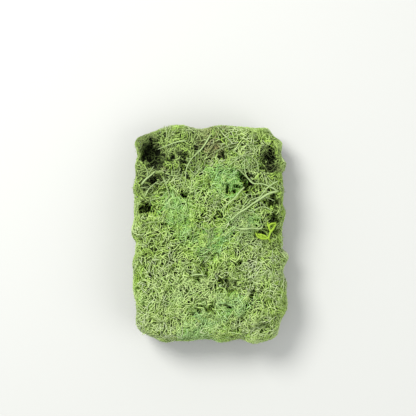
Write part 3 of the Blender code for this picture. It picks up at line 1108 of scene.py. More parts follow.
    def forked(self, tips: Tips, site: Site, habit: Habit) -> tuple[np.ndarray, np.ndarray]:
        """How every tip goes on: straight, or forked in two or three.

        Args:
            tips: The growing tips.
            site: What the cushion is like there.
            habit: How the strands grow.

        Returns:
            For each child the number of its tip, and its direction.
        """
        size = len(tips.node)
        forked = self.rng.random(size) < blend(habit.forks_deep, habit.forks_near, site.near)
        triple = forked & (self.rng.random(size) < habit.triples)
        number = 1 + forked + triple
        tip = np.repeat(np.arange(size), number)
        rank = np.arange(len(tip)) - np.repeat(np.cumsum(number) - number, number)
        step = site.usual(habit.deep_step, habit.near_step)
        way = turned(tips.way, unit(tips.curl), np.linalg.norm(tips.curl, axis=1) * step)
        angle = self.cushion.read(self.cushion.flow, tips.place)
        flow = np.stack([np.cos(angle), np.sin(angle), np.zeros(size)], 1)
        way = unit(way + flow * (habit.flow * site.near[:, None] * np.sign(dot(way, flow))))
        flat = unit(np.cross(site.out, way) + TILT)
        loose = unit(np.cross(way, self.rng.normal(size=(size, 3))))
        lie = np.clip((self.flat_from - site.depth) / self.flat_over, 0, self.most_flat)[:, None]
        split = blend(loose, np.where(self.rng.random((size, 1)) < 0.5, flat, -flat), lie)
        split = unit(split - way * dot(split, way))
        about = np.where(triple[tip], rank * math.tau / 3, rank * math.pi)
        splay = turned(split[tip], way[tip], about)
        angle = np.radians(self.rng.uniform(habit.fork_low, habit.fork_high, len(tip))) / 2
        angle = angle * np.where(rank == 0, habit.main_lean, habit.side_lean)
        angle = np.where(forked[tip], angle, 0.0)
        going = way[tip] * np.cos(angle)[:, None] + splay * np.sin(angle)[:, None]
        return tip, unit(going)

    def pressed(self, way: np.ndarray, out: np.ndarray, depth: np.ndarray) -> np.ndarray:
        """Turns directions that would leave the cushion to run along its outside.

        Args:
            way: The directions.
            out: The direction out of the cushion at each.
            depth: How deep each starts.

        Returns:
            The turned directions.
        """
        turn_over = blend(self.turn_over_top, self.turn_over_side, 1 - np.abs(out[:, 2:]))
        most = np.clip((depth[:, None] - self.turn_from) / turn_over, self.most_inward, 1)
        return unit(way - out * np.maximum(dot(way, out) - most, 0))

    def levelled(
        self, way: np.ndarray, out: np.ndarray, depth: np.ndarray, level: np.ndarray
    ) -> np.ndarray:
        """Turns the directions of runners so that they keep to their own depth.

        Args:
            way: The directions.
            out: The direction out of the cushion at each.
            depth: How deep each starts.
            level: The depth that each keeps to.

        Returns:
            The turned directions.
        """
        rise = (depth - level)[:, None] * self.rise_gain
        return unit(way + out * (np.clip(rise, -self.most_rise, self.most_rise) - dot(way, out)))

    def next_tips(self, tips: Tips, habit: Habit) -> Tips:
        """Lets every tip take its next step where there is room.

        Args:
            tips: The growing tips.
            habit: How the strands grow.

        Returns:
            The tips that went on.
        """
        site = self.site(tips.place)
        tip, going = self.forked(tips, site, habit)
        step = site.usual(habit.deep_step, habit.near_step)
        room = site.usual(habit.deep_room, habit.near_room)
        usual = site.usual(habit.deep_radius, habit.near_radius)
        waiting = self.rng.permutation(len(tip))
        grown = [tips.pick(np.zeros(0, dtype=int))]
        for attempt in range(habit.tries):
            left = []
            for batch in np.array_split(waiting, self.batches):
                source = tip[batch]
                out, from_depth = site.out[source], site.depth[source]
                way = going[batch]
                if attempt:
                    way = unit(way + self.rng.normal(0, habit.wobble * (1 + attempt), way.shape))
                way = self.pressed(way, out, from_depth)
                if habit.hug:
                    level = habit.hug - self.pale_rise * np.clip(tips.pale[source], *self.pale_limits)
                    way = self.levelled(way, out, from_depth, level)
                length = step[source] * self.rng.uniform(*habit.step_spread, len(batch))
                new = tips.place[source] + way * length[:, None]
                apart = np.linalg.norm(new[:, None, :2] - self.middles[None], axis=2)
                strayed = apart[np.arange(len(new)), tips.tuft[source]] - apart.min(1)
                least = blend(*habit.least_depth, site.openness[source] * np.clip(out[:, 2], 0, 1))
                fits = (self.cushion.depth(new) > least) & self.room.is_free(new) & (strayed < self.stray)
                where = np.flatnonzero(fits)
                picked = where[self.room.one_to_a_cell(new[where], self.crowd)]
                self.room.take(new[picked], room[source[picked]])
                left.append(np.delete(batch, picked))
                went = source[picked]
                grown.append(self.added(tips.pick(went), new[picked], way[picked], usual[went], habit))
            waiting = np.concatenate(left)
        return Tips.together(grown)

    def added(
        self, source: Tips, place: np.ndarray, way: np.ndarray, usual: np.ndarray, habit: Habit
    ) -> Tips:
        """Adds the nodes at the end of a step.

        Args:
            source: The tips that the steps start from, one for each step.
            place: Where the steps end.
            way: The directions they took.
            usual: The usual radius there.
            habit: How the strands grow.

        Returns:
            The new tips.
        """
        size = len(place)
        depth = self.cushion.depth(place)
        least = np.maximum(usual, source.radius * self.quickest_thinning)
        radius = np.minimum(source.radius * habit.shrink, least)
        radius = np.maximum(radius, usual * self.thinnest) * self.rng.uniform(*self.radius_spread, size)
        side = unit(source.side - way * dot(source.side, way))
        drifted = np.minimum(source.hue + self.rng.normal(0, self.hue_drift, size), 1)
        hue = np.where(source.hue > 1, source.hue, drifted)
        tone = self.tone_at(place, depth) * self.rng.uniform(*self.tone_spread, size) * (1 + source.pale)
        tone = np.clip(tone + np.maximum(source.pale, 0) * self.pale_lift, 0, 1)
        node = self.strands.add(
            place=place, way=way, side=side, parent=source.node, radius=radius, tuft=source.tuft,
            tone=tone, hue=hue, depth=depth,
        )
        curl = source.curl * self.curl_kept + self.rng.normal(0, habit.curl, (size, 3))
        pale = source.pale * self.pale_kept
        return Tips(node, place, way, side, curl, radius, source.tuft, hue, pale)

    def grow(self, tips: Tips, generations: int, habit: Habit) -> Tips:
        """Grows from some tips until they run out of room.

        Args:
            tips: The tips to start from.
            generations: The most steps that any strand takes.
            habit: How the strands grow.

        Returns:
            The tips that could still go on.
        """
        for _ in range(generations):
            if not len(tips.node):
                break
            tips = self.next_tips(tips, habit)
        return tips


@dataclass(frozen=True)
class Bareness:
    """What the bare stalks have in common, in millimetres and degrees."""

    spacing: float = 1.7
    least_nodes: int = 3
    fine_steps: int = 12
    smoothing: int = 5
    foot_sunk: float = 2.2
    foot_over: float = 2.0
    head_sunk: float = 0.2
    head_over: float = 1.5
    radius_spread: tuple[float, float] = (0.93, 1.07)
    tone: tuple[float, float] = (0.68, 0.95)
    foot_shade: float = 0.3
    foot_shade_over: float = 1.2
    least_depth: float = 0.2
    room: float = 0.85
    generations: int = 4
    side_lean: tuple[float, float] = (38.0, 70.0)
    head_lean: tuple[float, float] = (18.0, 44.0)
    droop: float = 0.12
    side_radius: float = 0.62
    head_radius: float = 0.8
    pale: float = 0.25
    seed: int = SEED + 100


BARE = Bareness()


@dataclass(frozen=True)
class Stalk:
    """A long bare stalk that lies over the top: its path seen from above and its radii, in millimetres."""

    path: tuple[tuple[float, float], ...]
    thick: float
    thin: float
    lift: float = 0.5
    shoots: float = 0.45

    def curve(self) -> np.ndarray:
        """Smooths the stalk's path.

        Returns:
            Points close together on a cubic curve through the points of the path.
        """
        line = np.array(self.path, dtype=float)
        line = np.vstack([2 * line[0] - line[1], line, 2 * line[-1] - line[-2]])
        fine = []
        for a, b, c, d in zip(line, line[1:], line[2:], line[3:]):
            slope, bend, twist = c - a, 2 * a - 5 * b + 4 * c - d, 3 * b - a - 3 * c + d
            for t in np.linspace(0, 1, BARE.fine_steps, endpoint=False):
                fine.append(0.5 * (2 * b + slope * t + bend * t**2 + twist * t**3))
        return np.array([*fine, line[-2]])

    def places(self, cushion: Cushion) -> np.ndarray:
        """The stalk's nodes: along its path over the cushion's crest, its foot sunk in.

        Args:
            cushion: What the stalk lies on.

        Returns:
            The nodes' places.
        """
        steps, flat = spaced(self.curve(), BARE.spacing, BARE.least_nodes, more=1)
        height = cushion.read(cushion.crest, flat)
        window = np.ones(BARE.smoothing) / BARE.smoothing
        smooth = np.convolve(np.pad(height, BARE.smoothing // 2, mode="edge"), window, mode="valid")
        sunk = BARE.foot_sunk * np.exp(-steps / BARE.foot_over)
        sunk = sunk + BARE.head_sunk * np.exp(-(steps[-1] - steps) / BARE.head_over)
        return np.column_stack([flat, smooth + self.lift - sunk])

    def lay(self, thicket: Thicket, index: int) -> Tips:
        """Lays the stalk on the cushion before the rest grows.

        Args:
            thicket: What the stalk is part of.
            index: The stalk's number.

        Returns:
            The tips of its side shoots, and of the two that its head forks in.
        """
        rng = np.random.default_rng(BARE.seed + index)
        place = self.places(thicket.cushion)
        size = len(place)
        way = unit(np.gradient(place, axis=0))
        side = unit(np.cross(way, np.array([0.0, 0.0, 1.0])))
        radius = np.linspace(self.thick, self.thin, size) * rng.uniform(*BARE.radius_spread, size)
        tuft = np.repeat(thicket.nearest_tuft(place[size // 2 : size // 2 + 1]), size)
        hue = np.full(size, GREENS[-1].place)
        shade = BARE.foot_shade * np.exp(-np.arange(size) / BARE.foot_shade_over)
        tone = np.clip(blend(*BARE.tone, rng.random(size)) - shade, 0, 1)
        first = thicket.strands.count
        parent = np.concatenate([[-1], np.arange(first, first + size - 1)])
        depth = thicket.cushion.depth(place)
        node = thicket.strands.add(
            place=place, way=way, side=side, parent=parent, radius=radius, tuft=tuft,
            tone=tone, hue=hue, depth=np.maximum(depth, BARE.least_depth),
        )
        thicket.room.take(place, radius + BARE.room)
        head = size - 1
        chosen = np.flatnonzero(rng.random(size) < self.shoots)
        chosen = chosen[(chosen > 0) & (chosen < head)]
        hands = np.append(rng.choice([-1, 1], len(chosen)), [-1, 1])
        leans = np.append(rng.uniform(*BARE.side_lean, len(chosen)), rng.uniform(*BARE.head_lean, 2))
        chosen = np.concatenate([chosen, [head, head]])
        lean = np.radians(leans)[:, None]
        going = way[chosen] * np.cos(lean) + side[chosen] * hands[:, None] * np.sin(lean)
        going = going - np.array([0, 0, BARE.droop])
        thinner = np.where(chosen == head, BARE.head_radius, BARE.side_radius)
        return Tips(
            node[chosen], place[chosen], unit(going), side[chosen], np.zeros((len(chosen), 3)),
            radius[chosen] * thinner, tuft[chosen], hue[chosen], np.full(len(chosen), BARE.pale),
        )


STALKS = (
    Stalk(((50.5, 32), (43, 30), (36, 25.4), (31, 22.3), (27.4, 19.3), (21.3, 15.7), (16, 11)), 0.84, 0.46),
    Stalk(((50.5, 39.4), (43.2, 35.1), (39, 30), (35.4, 25.4)), 0.50, 0.40),
    Stalk(((30.5, 23.6), (26, 20.8), (22.6, 17.2), (20, 13)), 0.44, 0.34),
    Stalk(((24.4, 23.5), (25.4, 27), (27.8, 29.8)), 0.42, 0.34),
    Stalk(((28.9, 26.3), (27.2, 24.1), (24.9, 21.2), (23.6, 18.4)), 0.46, 0.36),
    Stalk(((40, 29.2), (37.2, 27.8), (34, 26.6), (30.6, 25.6)), 0.42, 0.34),
    Stalk(((44.6, 18.4), (40.8, 20.5), (35.9, 19.9), (32.4, 17.3)), 0.46, 0.36),
    Stalk(((47.8, 24.8), (42, 27.2)), 0.42, 0.34, shoots=0.2),
    Stalk(
        (
            (50, 32.3), (43.2, 35.7), (38.4, 37.6), (32.2, 37.2),
            (29, 40.2), (26.6, 44), (25.6, 50), (25.6, 54),
        ),
        0.55, 0.40,
    ),
    Stalk(((31.7, 38.4), (26, 43.4), (21.3, 48.2)), 0.44, 0.36, lift=0.9, shoots=0.1),
    Stalk(((14, 50), (20, 55), (25.6, 58.4), (31, 57), (35.6, 52.4), (36, 46)), 0.46, 0.38),
    Stalk(((17, 62.3), (23.8, 57), (28.8, 53)), 0.44, 0.36),
    Stalk(((27, 67), (31, 63), (34.4, 59)), 0.44, 0.36),
    Stalk(((3, 59.4), (8, 62.6), (14, 65.6)), 0.38, 0.32, shoots=0.15),
    Stalk(((-49.5, 37), (-46, 41), (-42, 44), (-39, 47)), 0.74, 0.42, shoots=0.1),
    Stalk(((-46, 41), (-44.4, 44), (-45.8, 48)), 0.48, 0.34, lift=1.2, shoots=0.1),
    Stalk(((-44.8, 43), (-43, 46.5), (-41, 49.5)), 0.40, 0.32, lift=1.2, shoots=0.1),
    Stalk(((-47, 28), (-44, 34), (-39, 38)), 0.50, 0.36, shoots=0.2),
    Stalk(((-33.4, 41.4), (-31.2, 36), (-29, 29.8)), 0.48, 0.36),
    Stalk(((-28.4, 41.6), (-31.4, 36.8)), 0.42, 0.34),
    Stalk(((-30.4, 42.6), (-26, 43.5), (-21.3, 41.4)), 0.42, 0.34),
    Stalk(((1, 73), (-3, 66), (-7, 61), (-12, 56.5), (-15.5, 51), (-17, 46), (-17, 41)), 0.52, 0.38),
    Stalk(((21.5, 4.6), (26, 4.2), (31, 4.9), (36, 4.2), (38.5, 4.4), (40, 6.2)), 0.76, 0.50, lift=0.9),
    Stalk(((-13.4, -29.8), (-8, -28.6), (-2.4, -29.6)), 0.60, 0.42, lift=0.9),
    Stalk(((-28, -6), (-23, -6), (-18.5, -4.3)), 0.42, 0.34),
    Stalk(((1, -15.5), (-3, -20)), 0.46, 0.36),
    Stalk(((23, -11), (27, -7.5), (32, -5.8), (38, -7)), 0.42, 0.34),
    Stalk(((25.5, 34.6), (21.6, 30.8), (19.4, 27.4), (13.8, 22.9), (11, 19.8)), 0.62, 0.40),
    Stalk(((-8.5, 6), (-4, 5), (-0.5, 3)), 0.42, 0.34),
    Stalk(((-43.5, 21.5), (-42.8, 25.5), (-37, 26.5)), 0.42, 0.34, shoots=0.2),
    Stalk(((-50, 34.5), (-45, 35)), 0.44, 0.34),
    Stalk(((-14, 40), (-10, 44.5)), 0.44, 0.34),
    Stalk(((-1, 25.5), (2, 29.5)), 0.42, 0.34),
    Stalk(((-16.6, 68.8), (-23, 68), (-30, 65.6), (-37.4, 63)), 0.54, 0.36),
    Stalk(((-48, 7), (-43, 9.4), (-37.5, 9.2)), 0.42, 0.32),
)


@dataclass
class MeshParts:
    """The points and triangles of a mesh while it is put together."""

    points: list[np.ndarray] = field(default_factory=list)
    tones: list[np.ndarray] = field(default_factory=list)
    hues: list[np.ndarray] = field(default_factory=list)
    faces: list[np.ndarray] = field(default_factory=list)
    count: int = 0

    def add_points(self, points: np.ndarray, tone: np.ndarray, hue: np.ndarray) -> np.ndarray:
        """Adds points, or whole rings of points, and numbers the first point of each.

        Args:
            points: The points, or rings by points.
            tone: The tone of each point or ring.
            hue: The hue of each.

        Returns:
            The number of each point, or of each ring's first point.
        """
        each = points.shape[1] if points.ndim == 3 else 1
        first = self.count + np.arange(len(points)) * each
        self.points.append(points.reshape(-1, 3))
        self.tones.append(np.repeat(tone, each))
        self.hues.append(np.repeat(hue, each))
        self.count += len(points) * each
        return first

    def tube(self, low: np.ndarray, high: np.ndarray, sides: int) -> None:
        """Joins rings in pairs.

        Args:
            low: The number of the first point of each tube's lower ring.
            high: The number of the first point of its upper ring.
            sides: How many points a ring has.
        """
        for step in range(sides):
            after = (step + 1) % sides
            self.faces.append(np.stack([low + step, low + after, high + after], 1))
            self.faces.append(np.stack([low + step, high + after, high + step], 1))

    def cone(self, ring: np.ndarray, apex: np.ndarray, sides: int, inward: bool = False) -> None:
        """Joins each ring to one point.

        Args:
            ring: The number of each ring's first point.
            apex: The number of each point.
            sides: How many points a ring has.
            inward: Whether the point lies behind the ring, and not ahead of it.
        """
        for step in range(sides):
            low, high = ring + step, ring + (step + 1) % sides
            self.faces.append(np.stack([high, low, apex] if inward else [low, high, apex], 1))


@dataclass(frozen=True)
class SpurKind:
    """A kind of short pointed spur: how far it leans, and its length in its strand's radii."""

    lean: float
    shortest: float
    longest: float


@dataclass
class StrandMesh:
    """Turns grown nodes into thin tapering tubes with pointed ends, in millimetres."""

    strands: Strands
    seed: int = SEED + 9
    # The lowest that a point may reach
    floor: float = 0.05
    # Which strands have round tubes, and how the tubes are smoothed and shaped at ends, forks and roots
    round_radius: float = 0.44
    round_depth: float = 2.5
    round_sides: int = 6
    plain_sides: int = 3
    ease_rounds: int = 2
    end_taper: float = 0.8
    fork_swell: float = 1.15
    fork_most: float = 0.92
    root_length: float = 0.8
    # Where a length of strand has a ring halfway: the cosine of its bend, its length and its depth
    bend_cosine: float = 0.985
    bend_length: float = 1.5
    bend_depth: float = 4.0
    bend_swell: float = 1.15
    bend_taper: float = 0.94
    # The points at the ends, their length in radii
    point_length: tuple[float, float] = (2.2, 4.4)
    point_sway: float = 0.22
    point_light: float = 1.12
    # The spurs: the strands that bear them, and their size and paleness
    spur_depth: float = 3.0
    spur_radius: float = 0.185
    spur_share: float = 0.3
    third_share: float = 0.35
    at_ends: SpurKind = SpurKind(0.75, 2.4, 4.8)
    along_strands: SpurKind = SpurKind(1.6, 2.2, 4.6)
    lean_spread: tuple[float, float] = (0.6, 1.4)
    spur_thickness: tuple[float, float] = (0.48, 0.66)
    spur_sunk: float = 0.5
    spur_least: float = 0.2
    spur_tilt: float = 1e-4
    spur_light: tuple[float, float] = (0.98, 1.25)

    def __post_init__(self) -> None:
        """Reads the grown nodes once for all the tufts, and smooths them."""
        self.place = self.strands.whole("place")
        self.way = self.strands.whole("way")
        self.side = self.strands.whole("side")
        self.parent = self.strands.whole("parent")
        self.radius = self.strands.whole("radius")
        self.tuft = self.strands.whole("tuft")
        self.tone = self.strands.whole("tone")
        self.hue = self.strands.whole("hue")
        self.depth = self.strands.whole("depth")
        size = len(self.place)
        joined = np.flatnonzero(self.parent >= 0)
        above = self.parent[joined]
        self.children = np.bincount(above, minlength=size)
        self.main = np.full(size, -1)
        straight = dot(self.way[joined], self.way[above])[:, 0] + self.radius[joined] / self.radius[above]
        order = joined[np.argsort(straight, kind="stable")]
        self.main[self.parent[order]] = order
        self.ease(joined)
        in_view = (self.radius > self.round_radius) & (self.depth < self.round_depth)
        self.sides = np.where(in_view, self.round_sides, self.plain_sides)
        self.along = unit(self.way + np.where(self.main[:, None] >= 0, self.way[self.main], 0))
        self.rng = np.random.default_rng(self.seed)

    def ease(self, joined: np.ndarray) -> None:
        """Takes the kinks out of the strands, by moving each node towards the middle of its neighbours.

        Args:
            joined: The nodes that have a parent.
        """
        inner = joined[self.main[joined] >= 0]
        for _ in range(self.ease_rounds):
            around = self.place[self.parent[inner]] + self.place[self.main[inner]]
            self.place[inner] = (around + 2 * self.place[inner]) / 4
        self.way[joined] = unit(self.place[joined] - self.place[self.parent[joined]])

    @staticmethod
    def ring(
        place: np.ndarray, along: np.ndarray, side: np.ndarray, radius: np.ndarray, sides: int
    ) -> np.ndarray:
        """Rings of points round places on the strands.

        Args:
            place: The middles.
            along: The directions that the rings face.
            side: The direction of each ring's first point.
            radius: The rings' radii.
            sides: How many points a ring has.

        Returns:
            The points, as rings by points by three.
        """
        side = unit(side - along * dot(side, along))
        other = np.cross(along, side)
        angles = (np.arange(sides) * math.tau / sides)[None, :, None]
        circle = side[:, None] * np.cos(angles) + other[:, None] * np.sin(angles)
        return place[:, None] + circle * radius[:, None, None]

    def tubes(self, parts: MeshParts, nodes: np.ndarray, sides: int) -> None:
        """Adds the tubes that end at some nodes.

        Args:
            parts: The mesh so far.
            nodes: The nodes whose tubes have this many sides.
            sides: How many sides the tubes have.
        """
        ends = self.children[nodes] == 0
        radius = self.radius[nodes] * np.where(ends, self.end_taper, 1.0)
        rings = self.ring(self.place[nodes], self.along[nodes], self.side[nodes], radius, sides)
        ring_of = np.full(len(self.place), -1)
        ring_of[nodes] = parts.add_points(rings, self.tone[nodes], self.hue[nodes])
        child = nodes[self.parent[nodes] >= 0]
        parent = self.parent[child]
        goes_on = (self.main[parent] == child) & (self.sides[parent] == sides)
        fork, base = child[~goes_on], parent[~goes_on]
        thick = np.minimum(self.radius[fork] * self.fork_swell, self.radius[base] * self.fork_most)
        rings = self.ring(self.place[base], self.way[fork], self.side[base], thick, sides)
        start = ring_of[parent]
        start[~goes_on] = parts.add_points(rings, self.tone[base], self.hue[base])
        leaving = np.where(goes_on[:, None], self.along[parent], self.way[child])
        bent = self.is_bent(child, leaving)
        half = self.halfway(parts, child[bent], leaving[bent], sides)
        parts.tube(start[bent], half, sides)
        parts.tube(half, ring_of[child[bent]], sides)
        parts.tube(start[~bent], ring_of[child[~bent]], sides)
        self.points_of(parts, nodes[ends], ring_of[nodes[ends]], sides)
        root = nodes[self.parent[nodes] < 0]
        foot = self.place[root] - self.way[root] * self.root_length
        back = parts.add_points(foot, self.tone[root], self.hue[root])
        parts.cone(ring_of[root], back, sides, inward=True)

    def is_bent(self, child: np.ndarray, leaving: np.ndarray) -> np.ndarray:
        """Whether lengths of strand bend in plain view.

        Args:
            child: The nodes that they end at.
            leaving: The directions in which they leave their parents.

        Returns:
            Whether each does.
        """
        length = np.linalg.norm(self.place[child] - self.place[self.parent[child]], axis=1)
        bend = dot(leaving, self.along[child])[:, 0]
        near = self.depth[child] < self.bend_depth
        return (bend < self.bend_cosine) & (length > self.bend_length) & near

    def halfway(self, parts: MeshParts, child: np.ndarray, leaving: np.ndarray, sides: int) -> np.ndarray:
        """Adds rings halfway along lengths of strand, on the cubic curve that joins their ends smoothly.

        Args:
            parts: The mesh so far.
            child: The nodes that the lengths end at.
            leaving: The directions in which they leave their parents.
            sides: How many sides the tubes have.

        Returns:
            The number of each ring's first point.
        """
        parent = self.parent[child]
        arriving = self.along[child]
        span = self.place[child] - self.place[parent]
        length = np.linalg.norm(span, axis=1)
        middle = (self.place[child] + self.place[parent]) / 2
        middle += (leaving - arriving) * (length / 8)[:, None]
        facing = unit(1.5 * span / np.maximum(length, TINY)[:, None] - 0.25 * (leaving + arriving))
        usual = (self.radius[child] + self.radius[parent]) / 2
        thin = np.minimum(usual, self.radius[child] * self.bend_swell) * self.bend_taper
        rings = self.ring(middle, facing, self.side[child], thin, sides)
        tone = (self.tone[child] + self.tone[parent]) / 2
        return parts.add_points(rings, tone, self.hue[child])

    def points_of(self, parts: MeshParts, ends: np.ndarray, rings: np.ndarray, sides: int) -> None:
        """Draws the ends of strands out to points.

        Args:
            parts: The mesh so far.
            ends: The end nodes.
            rings: The number of the first point of each one's ring.
            sides: How many sides the tubes have.
        """
        length = self.radius[ends] * self.rng.uniform(*self.point_length, len(ends))
        way = unit(self.way[ends] + self.rng.normal(0, self.point_sway, (len(ends), 3)))
        apex = self.place[ends] + way * length[:, None]
        apex[:, 2] = np.maximum(apex[:, 2], self.floor)
        tone = np.clip(self.tone[ends] * self.point_light, 0, 1)
        parts.cone(rings, parts.add_points(apex, tone, self.hue[ends]), sides)

    def spurs(self, parts: MeshParts, nodes: np.ndarray) -> None:
        """Adds the short pointed spurs: two or three at an end, and single ones along the strands.

        Args:
            parts: The mesh so far.
            nodes: The tuft's nodes.
        """
        near = nodes[(self.depth[nodes] < self.spur_depth) & (self.radius[nodes] > self.spur_radius)]
        ends = near[self.children[near] == 0]
        along = near[(self.children[near] > 0) & (self.rng.random(len(near)) < self.spur_share)]
        stars = np.concatenate([ends, ends, ends[self.rng.random(len(ends)) < self.third_share]])
        self.add_spurs(parts, stars, self.at_ends)
        self.add_spurs(parts, along, self.along_strands)

    def add_spurs(self, parts: MeshParts, bases: np.ndarray, kind: SpurKind) -> None:
        """Adds one spur at each of some nodes.

        Args:
            parts: The mesh so far.
            bases: The nodes that bear the spurs.
            kind: What the spurs are like.
        """
        size = len(bases)
        across = unit(np.cross(self.way[bases], self.rng.normal(size=(size, 3))))
        lean = kind.lean * self.rng.uniform(*self.lean_spread, size)
        ways = unit(self.way[bases] + across * lean[:, None])
        radius = self.radius[bases] * self.rng.uniform(*self.spur_thickness, size)
        back = self.place[bases] - self.way[bases] * (self.radius[bases] * self.spur_sunk)[:, None]
        side = unit(np.cross(ways, self.way[bases] + self.spur_tilt))
        rings = self.ring(back, ways, side, radius, self.plain_sides)
        first = parts.add_points(rings, self.tone[bases], self.hue[bases])
        length = self.radius[bases] * self.rng.uniform(kind.shortest, kind.longest, size) + self.spur_least
        apex = back + ways * length[:, None]
        apex[:, 2] = np.maximum(apex[:, 2], self.floor)
        pale = np.clip(self.tone[bases] * self.rng.uniform(*self.spur_light, size), 0, 1)
        parts.cone(first, parts.add_points(apex, pale, self.hue[bases]), self.plain_sides)

    def build(
        self, index: int, name: str, finish: MossFinish, material: bpy.types.Material
    ) -> bpy.types.Object:
        """Builds one tuft's strands as one object.

        Args:
            index: The tuft's number.
            name: The object's name.
            finish: Its finish.
            material: The finish's material.

        Returns:
            The object, linked into the scene.
        """
        nodes = np.flatnonzero(self.tuft == index)
        parts = MeshParts()
        for sides in np.unique(self.sides[nodes]):
            self.tubes(parts, nodes[self.sides[nodes] == sides], int(sides))
        self.spurs(parts, nodes)
        hue = np.clip((np.concatenate(parts.hues) - finish.low) / (finish.high - finish.low), 0, 1)
        points, faces = np.concatenate(parts.points) * MM, np.concatenate(parts.faces)
        return make_object(name, points, faces, np.concatenate(parts.tones), hue, material)


@dataclass(frozen=True)
class BakeMap:
    """Lays a mesh's triangles out flat for baking, by tone across and by hue upwards."""

    span: float = 0.96
    margin: float = 0.02
    height: float = 0.006

    def lay(self, mesh: bpy.types.Mesh, tone: np.ndarray, hue: np.ndarray) -> None:
        """Gives the mesh its layout.

        Args:
            mesh: The mesh.
            tone: The tone at each corner of its triangles.
            hue: The hue at each corner.
        """
        spot = np.stack([tone * self.span + self.margin, hue * self.span + self.margin], 1)
        spot[:, 1] += (np.arange(len(spot)) % 3 - 1) * self.height
        layer = mesh.uv_layers.new(name="OFBake")
        layer.uv.foreach_set("vector", spot.astype(np.float32).ravel())


def make_object(
    name: str, points: np.ndarray, faces: np.ndarray, tone: np.ndarray, hue: np.ndarray,
    material: bpy.types.Material,
) -> bpy.types.Object:
    """Makes an object of triangles, with each point's tone and hue.

    Args:
        name: The object's name.
        points: The points, in metres.
        faces: The triangles, as point numbers.
        tone: Each point's tone.
        hue: Each point's hue.
        material: The material.

    Returns:
        The object, linked into the scene.
    """
    mesh = bpy.data.meshes.new(name)
    mesh.vertices.add(len(points))
    mesh.vertices.foreach_set("co", points.astype(np.float32).ravel())
    mesh.loops.add(faces.size)
    mesh.loops.foreach_set("vertex_index", faces.astype(np.int32).ravel())
    mesh.polygons.add(len(faces))
    mesh.polygons.foreach_set("loop_start", np.arange(0, faces.size, 3, dtype=np.int32))
    mesh.polygons.foreach_set("use_smooth", np.ones(len(faces), dtype=bool))
    for label, values in (("tone", tone), ("hue", hue)):
        layer = mesh.attributes.new(label, "FLOAT", "POINT")
        layer.data.foreach_set("value", values.astype(np.float32))
    corners = faces.ravel()
    BakeMap().lay(mesh, tone[corners], hue[corners])
    mesh.materials.append(material)
    mesh.update()
    return linked(name, mesh)


@dataclass(frozen=True)
class HeartFinish:
    """The finish of the clump's inside: near-black mottled green-brown, painted shade over the real darker
    old growth, in linear colours.
    """

    name: str = "shaded_inside"
    roughness: float = 0.95
    specular: float = 0.1
    mottling: float = 420.0
    detail: float = 5.0
    # Near-black colours: painted shade for the inside of the tangle
    dark: tuple[float, float, float] = (0.006, 0.008, 0.004)
    light: tuple[float, float, float] = (0.028, 0.038, 0.014)
    dark_until: float = 0.35
    light_from: float = 0.75

    def material(self) -> bpy.types.Material:
        """Makes the finish as a material.

        Returns:
            The material.
        """
        made, shader = shaded(self.name, self.roughness, self.specular)
        tree = made.node_tree
        place = tree.nodes.new("ShaderNodeTexCoord")
        noise = tree.nodes.new("ShaderNodeTexNoise")
        noise.inputs["Scale"].default_value = self.mottling
        noise.inputs["Detail"].default_value = self.detail
        ramp = tree.nodes.new("ShaderNodeValToRGB")
        stops = ramp.color_ramp.elements
        stops[0].position, stops[0].color = self.dark_until, (*self.dark, 1)
        stops[1].position, stops[1].color = self.light_from, (*self.light, 1)
        tree.links.new(place.outputs["Object"], noise.inputs["Vector"])
        tree.links.new(noise.outputs["Fac"], ramp.inputs["Fac"])
        tree.links.new(ramp.outputs["Color"], shader.inputs["Base Color"])
        return made


